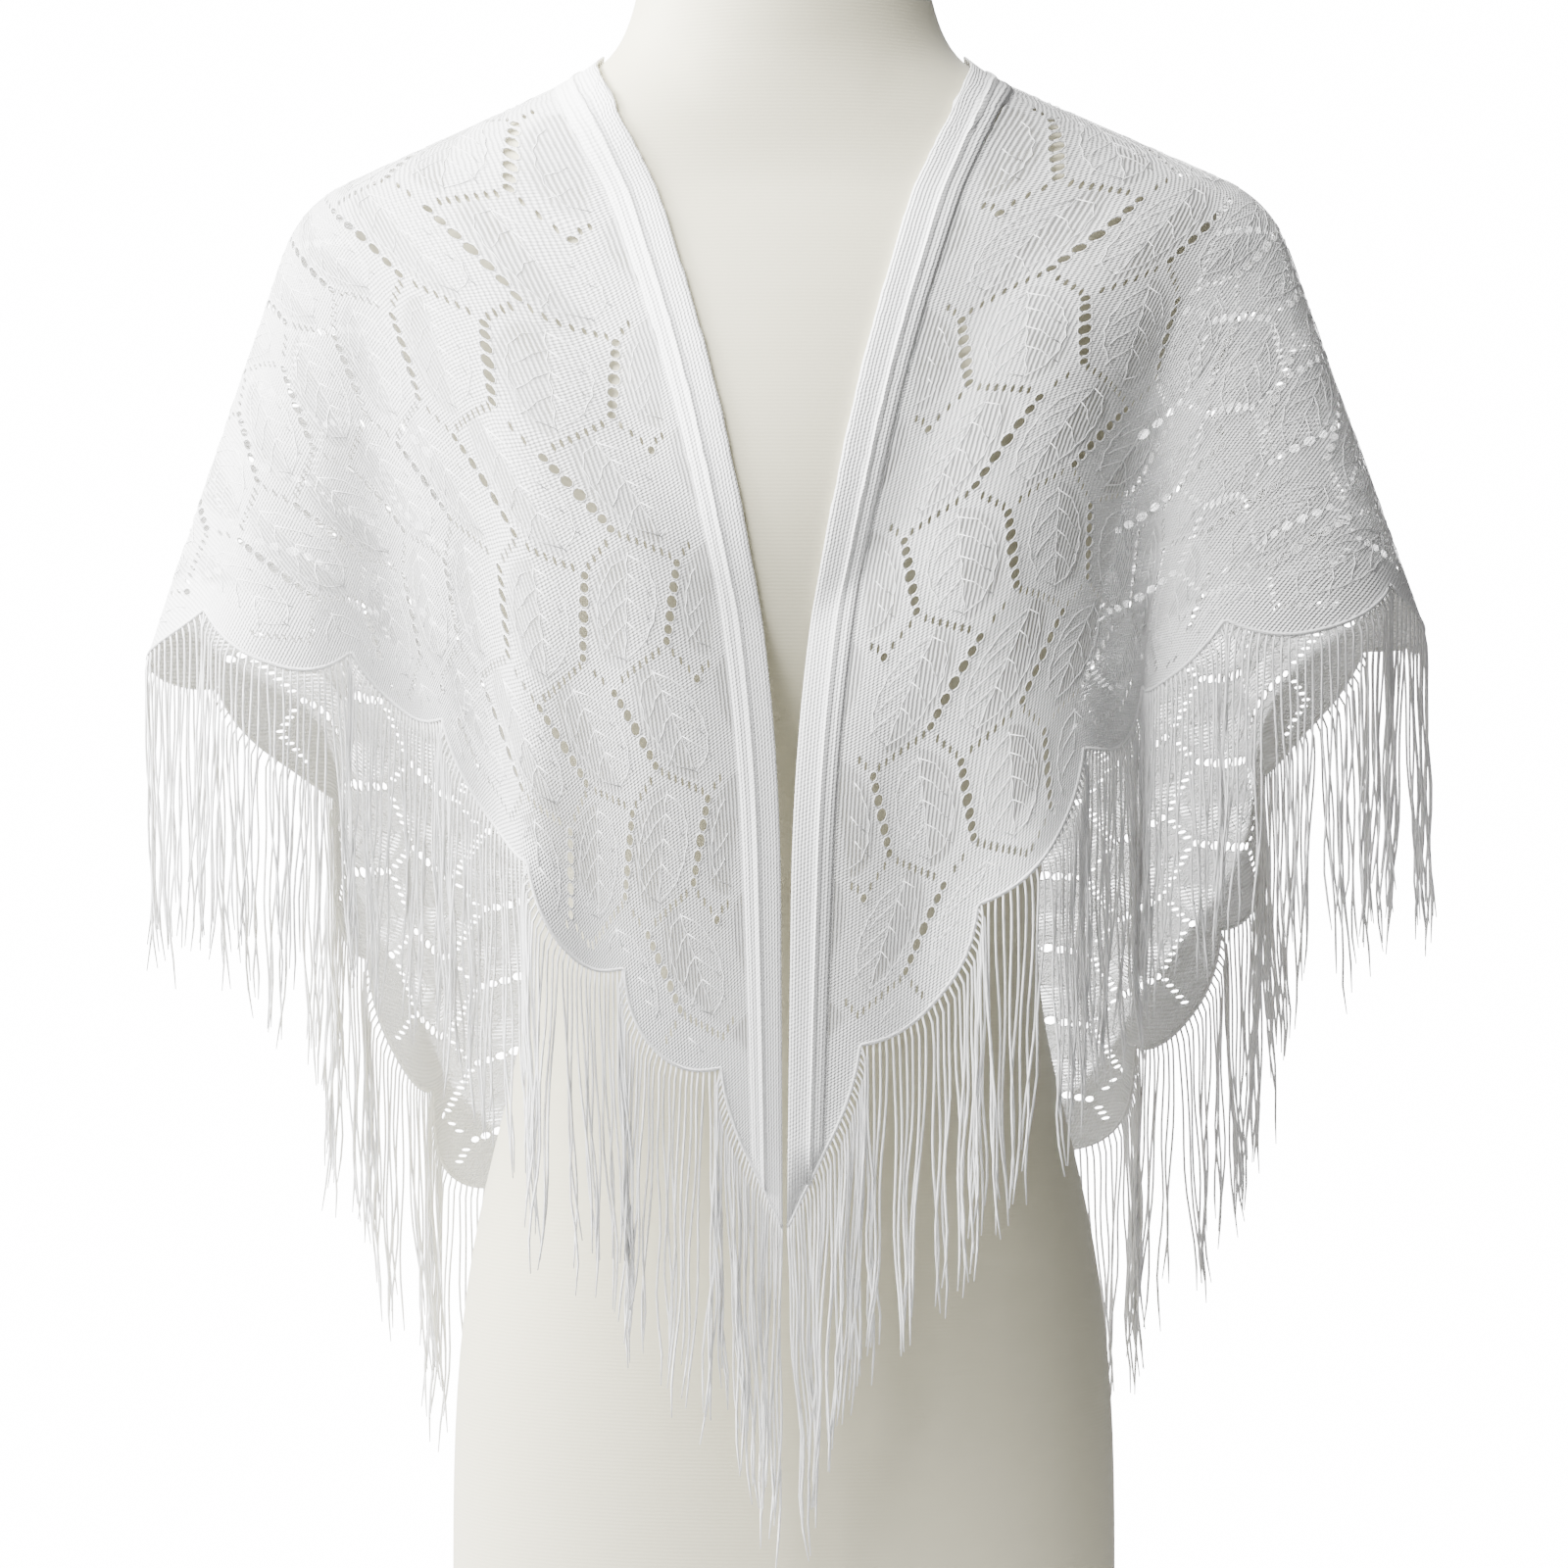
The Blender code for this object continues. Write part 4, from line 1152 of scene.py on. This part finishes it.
@dataclass
class EyeletRims:
    """The turned yarn that edges each oval, a little proud of the cloth."""

    drape: Drape
    openwork: Openwork
    radius: float = 0.00030
    lift: float = 0.00030
    outset: float = 0.00025

    def build(self, material: bpy.types.Material) -> bpy.types.Object:
        """Make the rims and dress them.

        Args:
            material: the yarn's finish.

        Returns:
            The finished piece.
        """
        rings = [ring for ring in self.openwork.holes() if len(ring) == self.openwork.oval_sides]
        flat = []
        for ring in rings:
            middle = ring.mean(axis=0)
            ways = ring - middle
            flat.append(ring + ways / np.linalg.norm(ways, axis=1)[:, None] * self.outset)
        places = self.drape.lifted(np.concatenate(flat), self.lift)
        size = self.openwork.oval_sides
        lines = [np.concatenate([places[first:first + size], places[first:first + 1]])
                 for first in range(0, len(places), size)]
        piece = link_yarns("eyelet_rims", lines, self.radius)
        finish_piece(piece, material)
        return piece


@dataclass
class LeafVeins:
    """Thicker threads laid on the cloth: a midrib, two outlines and side veins in each leaf."""

    cut: ScarfCut
    drape: Drape
    openwork: Openwork
    radius: float = 0.00025
    lift: float = 0.00036
    margin: float = 0.006
    outline_width: float = 0.33
    outline_reach: float = 0.86
    midrib_reach: float = 0.90
    jag: float = 0.0007
    vein_starts: tuple[float, ...] = (-0.55, -0.15, 0.25)
    vein_run: float = 0.42
    vein_width: float = 0.27
    vein_bow: float = 0.8
    outline_bow: float = 0.6
    hem_steps: int = 8
    seam_pitch: float = 0.02

    def leaf_paths(self) -> list[list[tuple[float, float]]]:
        """Paths of one leaf, as shares of its half length and of its width."""
        paths = [[(self.midrib_reach * (step / 5 - 1.0), 0.0) for step in range(11)]]
        for side in (-1.0, 1.0):
            outline = []
            for step in range(13):
                way = self.outline_reach * (step / 6 - 1.0)
                bow = max(1.0 - (way / self.outline_reach) ** 2, 0.0) ** self.outline_bow
                width = self.outline_width * bow
                outline.append((way, side * width))
            paths.append(outline)
        for number, start in enumerate(self.vein_starts):
            side = 1.0 if number % 2 else -1.0
            for both in (side, -side):
                paths.append([(start + self.vein_run * step / 3,
                               both * self.vein_width * (step / 3) ** self.vein_bow) for step in range(4)])
        return paths

    def flat_paths(self) -> list[np.ndarray]:
        """Every vein's flat path on both halves, cut where it would leave the cloth."""
        outline = np.array(self.cut.outline(self.hem_steps, self.seam_pitch))
        rows = math.ceil(self.cut.half_length() / self.openwork.row_pitch)
        columns = math.ceil(self.cut.centre_depth() / self.openwork.column_pitch) + 2
        found = []
        for row in range(rows):
            for column in range(-1, columns):
                for path in self.leaf_paths():
                    flat = np.array([self.openwork.leaf_place(row, column, *share) for share in path])
                    flat[1::2, 1] += self.jag
                    found += self.inside_runs(outline, flat)
        past_centre = [path for path in found if path[:, 0].min() > self.openwork.row_pitch / 2]
        return found + [path * OTHER_HALF for path in past_centre]

    def inside_runs(self, outline: np.ndarray, flat: np.ndarray) -> list[np.ndarray]:
        """The stretches of a flat path that lie well inside the cloth.

        Args:
            outline: the outline of the lace.
            flat: the path.

        Returns:
            Each stretch of three places or more.
        """
        kept = inside(outline, flat) & (distance_to(outline, flat) > self.margin)
        runs = []
        start = None
        for number, good in enumerate([*kept, False]):
            if good and start is None:
                start = number
            if not good and start is not None:
                if number - start > 2:
                    runs.append(flat[start:number])
                start = None
        return runs

    def build(self, material: bpy.types.Material) -> bpy.types.Object:
        """Make the veins and dress them.

        Args:
            material: the yarn's finish.

        Returns:
            The finished piece.
        """
        paths = self.flat_paths()
        places = self.drape.lifted(np.concatenate(paths), self.lift)
        ends = np.cumsum([len(path) for path in paths])[:-1]
        piece = link_yarns("leaf_veins", np.split(places, ends), self.radius)
        finish_piece(piece, material)
        return piece


@dataclass
class EdgeBand:
    """The plain heading along the long edge, with one raised rib."""

    cut: ScarfCut
    drape: Drape
    half_wall: float = 0.0007
    rib_height: float = 0.0010
    rib_at: float = 0.0115
    rib_half_width: float = 0.0013
    rib_steps: int = 6
    edge_round: float = 0.0004
    face_stops: tuple[float, ...] = (0.003, 0.006, 0.009)
    past_rib: float = 0.0148
    back_stop: float = 0.009
    pitch: float = 0.004

    def profile(self) -> list[tuple[float, float]]:
        """Across the heading: distance from the edge and lift, round the wall."""
        width = self.cut.band_width
        points = [(0.0, 0.5 * self.half_wall)]
        points += [(deep, self.half_wall) for deep in (self.edge_round, *self.face_stops)]
        for step in range(self.rib_steps + 1):
            share = step / self.rib_steps
            points.append((self.rib_at + self.rib_half_width * (2 * share - 1),
                           self.half_wall + self.rib_height * math.sin(math.pi * share)))
        points += [(self.past_rib, self.half_wall), (width, self.half_wall), (width, -self.half_wall)]
        return points + [(self.back_stop, -self.half_wall), (0.0, -0.5 * self.half_wall)]

    def build(self, material: bpy.types.Material) -> bpy.types.Object:
        """Make the heading and dress it.

        Args:
            material: the heading's finish.

        Returns:
            The finished piece.
        """
        end = self.cut.half_length() - self.cut.tip_slant
        count = math.ceil(end / self.pitch)
        stops = [end * stop / count for stop in range(-count, count + 1)]
        profile = self.profile()
        flat = []
        lifts = []
        for stop in stops:
            for deep, lift in profile:
                slant = self.cut.tip_slant * (1.0 - deep / self.cut.band_width) if abs(stop) == end else 0.0
                flat.append((stop + math.copysign(slant, stop), deep))
                lifts.append(lift)
        flat = np.array(flat)
        points = self.drape.lifted(flat, np.array(lifts))
        size = len(profile)
        faces = []
        for row in range(len(stops) - 1):
            for side in range(size):
                following = (side + 1) % size
                low = row * size
                faces.append((low + following, low + side, low + size + side, low + size + following))
        faces.append(tuple(range(size)))
        faces.append(tuple(reversed(range(len(points) - size, len(points)))))
        piece = link_mesh("scarf_band", points, faces)
        write_map(piece, flat)
        finish_piece(piece, material, ("edge_band",))
        return piece


@dataclass
class Fringe:
    """One half's fringe: the hem's edge cord and the strands looped into it."""

    cut: ScarfCut
    drape: Drape
    side: Side
    pitch: float = 0.0030
    strand_radius: float = 0.00056
    cord_radius: float = 0.0010
    cord_out: float = 0.0004
    front_length: float = 0.142
    back_length: float = 0.126
    variation: float = 0.014
    curl_out: float = 0.004
    tip_strands: int = 16
    clump: tuple[int, int] = (2, 7)
    clump_draw: float = 0.55
    sway: float = 0.0070
    own_sway: float = 0.3
    sway_growth: float = 1.4
    wave: float = 0.0014
    wave_run: float = 0.013
    wave_run_spread: float = 0.004
    wave_shift: float = 3.0
    wave_growth: float = 0.7
    stops: int = 13
    stop_growth: float = 1.15
    end_share: float = 0.45
    look_ahead: float = 0.004
    hem_steps: int = 16
    seed: int = 7

    def edge(self) -> tuple[np.ndarray, np.ndarray]:
        """Places along the hem at the strands' pitch, and the flat ways out of the hem there."""
        outline = np.array(self.cut.fringe_line(self.hem_steps))
        steps = np.linalg.norm(np.diff(outline, axis=0), axis=1)
        runs = np.concatenate([[0.0], np.cumsum(steps)])
        count = int(runs[-1] / self.pitch)
        at = (np.arange(count) + 0.5) * runs[-1] / count
        flat = np.stack([np.interp(at, runs, outline[:, 0]), np.interp(at, runs, outline[:, 1])], axis=1)
        way = np.gradient(flat, axis=0)
        way /= np.linalg.norm(way, axis=1)[:, None]
        return flat, np.stack([way[:, 1], -way[:, 0]], axis=1)

    def clump_moves(self, roots: np.ndarray, random: np.random.Generator) -> np.ndarray:
        """How far each strand's end moves over the floor: towards its clump's middle, and with the clump.

        Args:
            roots: where the strands leave the hem.
            random: the source of chance.

        Returns:
            One move in x and y for each strand.
        """
        moves = np.zeros((len(roots), 2))
        first = 0
        while first < len(roots):
            last = min(first + int(random.integers(*self.clump)), len(roots))
            group = roots[first:last, :2]
            moves[first:last] = self.clump_draw * (group.mean(axis=0) - group)
            moves[first:last] += self.sway * random.uniform(-1.0, 1.0, 2)
            first = last
        return moves + self.own_sway * self.sway * random.uniform(-1.0, 1.0, moves.shape)

    def strand_path(self, root: np.ndarray, out: np.ndarray, share: float, move: np.ndarray,
                    draw: np.ndarray) -> np.ndarray:
        """The middle line of one strand: out of the hem, then down with slow waves.

        Args:
            root: where it leaves the hem.
            out: its first direction.
            share: how far along the hem it is, from the front tip.
            move: how far its end moves in x and y.
            draw: five random numbers from -1 to 1.

        Returns:
            Points from the root to the end.
        """
        length = self.front_length + (self.back_length - self.front_length) * share + self.variation * draw[0]
        at = length * (np.arange(self.stops) / (self.stops - 1)) ** self.stop_growth
        bent = self.curl_out * (1.0 - np.exp(-at / self.curl_out))
        path = root + out * bent[:, None]
        path[:, 2] -= at - bent
        down = at / length
        for axis in (0, 1):
            period = self.wave_run + self.wave_run_spread * draw[1 + axis]
            path[:, axis] += move[axis] * down ** self.sway_growth
            angles = at / period + self.wave_shift * draw[3 + axis]
            path[:, axis] += self.wave * np.sin(angles) * down ** self.wave_growth
        return path

    def build(self, material: bpy.types.Material) -> bpy.types.Object:
        """Make the fringe and dress it.

        Args:
            material: the fringe's finish.

        Returns:
            The finished piece.
        """
        random = np.random.default_rng(self.seed)
        flat, out_flat = self.edge()
        downward = np.clip(1.0 - np.arange(len(flat)) / self.tip_strands, 0.0, 1.0)[:, None]
        out_flat = (1.0 - downward) * out_flat + downward * np.array([1.0, 0.0])
        along = flat[:, 0] * self.side.value
        roots = self.drape.places(along, flat[:, 1])
        beyond = flat + self.look_ahead * out_flat
        ahead = self.drape.places(beyond[:, 0] * self.side.value, beyond[:, 1])
        outs = ahead - roots
        outs /= np.linalg.norm(outs, axis=1)[:, None]
        points, faces = tube(roots + outs * self.cord_out, np.full(len(roots), self.cord_radius), 4, 0)
        moves = self.clump_moves(roots, random)
        draws = random.uniform(-1.0, 1.0, (len(roots), 5))
        for number, (root, out) in enumerate(zip(roots, outs)):
            path = self.strand_path(root, out, number / len(roots), moves[number], draws[number])
            radii = np.full(len(path), self.strand_radius)
            radii[-1] = self.end_share * self.strand_radius
            more_points, more_faces = tube(path, radii, 4, len(points))
            points += more_points
            faces += more_faces
        name = f"scarf_fringe_{self.side.name.lower()}"
        piece = link_mesh(name, np.array(points), faces)
        finish_piece(piece, material, (f"fringe_{self.side.name.lower()}",))
        return piece


@dataclass
class DressForm:
    """The limbless form, smoothed from its solid."""

    levels: int = 2
    merge: float = 0.00005
    quad_threshold: float = 0.8
    end_room: float = 0.0005
    sharp_angle: float = 40.0

    def open_ends(self, piece: bpy.types.Object) -> None:
        """Take off the flat faces at the base and on the neck, so that they don't pull the rings inward.

        Args:
            piece: the merged form.
        """
        heights = [vertex.co.z for vertex in piece.data.vertices]
        lowest, highest = min(heights), max(heights)
        bpy.ops.object.mode_set(mode="EDIT")
        bpy.ops.mesh.select_mode(type="FACE")
        bpy.ops.mesh.select_all(action="DESELECT")
        bpy.ops.object.mode_set(mode="OBJECT")
        for face in piece.data.polygons:
            from_end = min(face.center.z - lowest, highest - face.center.z)
            face.select = from_end < self.end_room
        bpy.ops.object.mode_set(mode="EDIT")
        bpy.ops.mesh.delete(type="FACE")
        bpy.ops.object.mode_set(mode="OBJECT")

    def close_ends(self) -> None:
        """Close the base and the neck with flat faces."""
        bpy.ops.object.mode_set(mode="EDIT")
        bpy.ops.mesh.select_all(action="SELECT")
        bpy.ops.mesh.fill_holes(sides=0)
        bpy.ops.mesh.normals_make_consistent(inside=False)
        bpy.ops.object.mode_set(mode="OBJECT")
        bpy.ops.object.shade_smooth_by_angle(angle=math.radians(self.sharp_angle))

    def build(self, material: bpy.types.Material) -> bpy.types.Object:
        """Make the form and dress it.

        Args:
            material: the jersey.

        Returns:
            The finished piece.
        """
        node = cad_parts["dress_form"]
        piece = bpy.data.objects.new("form_body", node.data.copy())
        bpy.context.scene.collection.objects.link(piece)
        select_only(piece)
        bpy.ops.object.mode_set(mode="EDIT")
        bpy.ops.mesh.select_all(action="SELECT")
        bpy.ops.mesh.remove_doubles(threshold=self.merge)
        bpy.ops.mesh.tris_convert_to_quads(face_threshold=self.quad_threshold,
                                           shape_threshold=self.quad_threshold)
        bpy.ops.object.mode_set(mode="OBJECT")
        self.open_ends(piece)
        modifier = piece.modifiers.new("smooth", "SUBSURF")
        modifier.levels = self.levels
        modifier.render_levels = self.levels
        bpy.ops.object.modifier_apply(modifier=modifier.name)
        self.close_ends()
        finish_piece(piece, material, ("dress_form",))
        return piece


@dataclass(frozen=True)
class SoftLight:
    """A square soft light: where it stands, the length of its side and its power in watts."""

    name: str
    place: tuple[float, float, float]
    size: float
    power: float


LIGHTS = (
    SoftLight("key", (-2.1, -0.1, 1.6), 1.0, 390.0),
    SoftLight("top", (-0.8, -0.7, 1.5), 1.0, 88.0),
    SoftLight("back", (-0.4, 2.2, 1.0), 2.0, 100.0),
)


@dataclass
class Studio:
    """White floor, soft light from the viewer's left and a level camera."""

    photo_pixels: int = 1600
    metres_a_pixel: float = 0.00046
    base_row: int = 1807
    distance: float = 2.2
    sensor: float = 36.0
    aim_height: float = 0.5
    floor_radius: float = 0.42
    floor_sides: int = 96
    floor_grey: float = 0.45
    floor_roughness: float = 0.9
    surround_light: float = 0.30
    surround_seen: float = 16.0

    def build(self) -> None:
        """Set up the floor, lights, world and camera."""
        self.add_floor()
        for light in LIGHTS:
            self.add_light(light)
        self.set_world()
        self.add_camera()

    def add_floor(self) -> None:
        """A round pale floor."""
        bpy.ops.mesh.primitive_circle_add(vertices=self.floor_sides, radius=self.floor_radius,
                                          fill_type="NGON", location=(0.0, 0.0, 0.0))
        floor = bpy.context.active_object
        floor.name = "studio_floor"
        material = bpy.data.materials.new("studio_white")
        material.use_nodes = True
        shader = material.node_tree.nodes["Principled BSDF"]
        shader.inputs["Base Color"].default_value = (self.floor_grey, self.floor_grey, self.floor_grey, 1.0)
        shader.inputs["Roughness"].default_value = self.floor_roughness
        floor.data.materials.append(material)

    def add_light(self, light: SoftLight) -> None:
        """Place a light and aim it at the scarf.

        Args:
            light: the light.
        """
        data = bpy.data.lights.new(light.name, "AREA")
        data.size = light.size
        data.energy = light.power
        lamp = bpy.data.objects.new(light.name, data)
        lamp.location = light.place
        aim = Vector((0.0, 0.0, self.aim_height)) - Vector(light.place)
        lamp.rotation_euler = aim.to_track_quat("-Z", "Y").to_euler()
        bpy.context.scene.collection.objects.link(lamp)

    def set_world(self) -> None:
        """An even white surround, brighter to the eye than the light that it gives."""
        world = bpy.data.worlds.new("studio")
        world.use_nodes = True
        tree = world.node_tree
        background = tree.nodes["Background"]
        background.inputs["Color"].default_value = (1.0, 1.0, 1.0, 1.0)
        seen = tree.nodes.new("ShaderNodeLightPath")
        strength = tree.nodes.new("ShaderNodeMapRange")
        strength.inputs["To Min"].default_value = self.surround_light
        strength.inputs["To Max"].default_value = self.surround_seen
        tree.links.new(seen.outputs["Is Camera Ray"], strength.inputs["Value"])
        tree.links.new(strength.outputs["Result"], background.inputs["Strength"])
        bpy.context.scene.world = world

    def add_camera(self) -> None:
        """A level camera in front, framed as the photograph is."""
        data = bpy.data.cameras.new("camera")
        data.sensor_width = self.sensor
        data.lens = self.sensor * self.distance / (self.photo_pixels * self.metres_a_pixel)
        camera = bpy.data.objects.new("camera", data)
        height = (self.base_row - 0.5 * self.photo_pixels) * self.metres_a_pixel
        camera.location = (0.0, -self.distance, height)
        camera.rotation_euler = (0.5 * math.pi, 0.0, 0.0)
        bpy.context.scene.collection.objects.link(camera)
        bpy.context.scene.camera = camera


def main() -> None:
    """Build and dress the form, the scarf's pieces and the studio."""
    logging.basicConfig(level=logging.INFO, format="%(message)s")
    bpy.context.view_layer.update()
    cut = ScarfCut()
    openwork = Openwork(cut)
    groups = NodeGroups(openwork)
    drape = Drape(cut, DressForm().build(JerseyFinish().material(groups)))
    lace_finish = YarnFinish("lace_yarn", (0.965, 0.965, 0.96), roughness=0.75, rib_scale=195.0,
                             cross_scale=240.0, rib_bump=0.0006, painted_shade=0.22, openness=0.5, thinness=0.25)
    vein_finish = YarnFinish("vein_yarn", (0.97, 0.97, 0.965), roughness=0.6, rib_scale=500.0,
                             cross_scale=500.0, rib_bump=0.0001, painted_shade=0.05, on_cut=False)
    band_finish = YarnFinish("band_yarn", (0.96, 0.96, 0.955), roughness=0.7, rib_scale=210.0,
                             cross_scale=200.0, rib_bump=0.0004, painted_shade=0.10)
    fringe_finish = YarnFinish("fringe_yarn", (0.95, 0.95, 0.945), roughness=0.65, rib_scale=500.0,
                               cross_scale=500.0, rib_bump=0.0002, painted_shade=0.06, on_cut=False)
    lace = LaceWrap(cut, drape).build(lace_finish.material(groups))
    thread = vein_finish.material(groups)
    veins = LeafVeins(cut, drape, openwork).build(thread)
    rims = EyeletRims(drape, openwork).build(thread)
    band = EdgeBand(cut, drape).build(band_finish.material(groups))
    yarn = fringe_finish.material(groups)
    fringes = [Fringe(cut, drape, side, seed=7 + side.value).build(yarn) for side in Side]
    Studio().build()


if __name__ == "__main__":
    main()
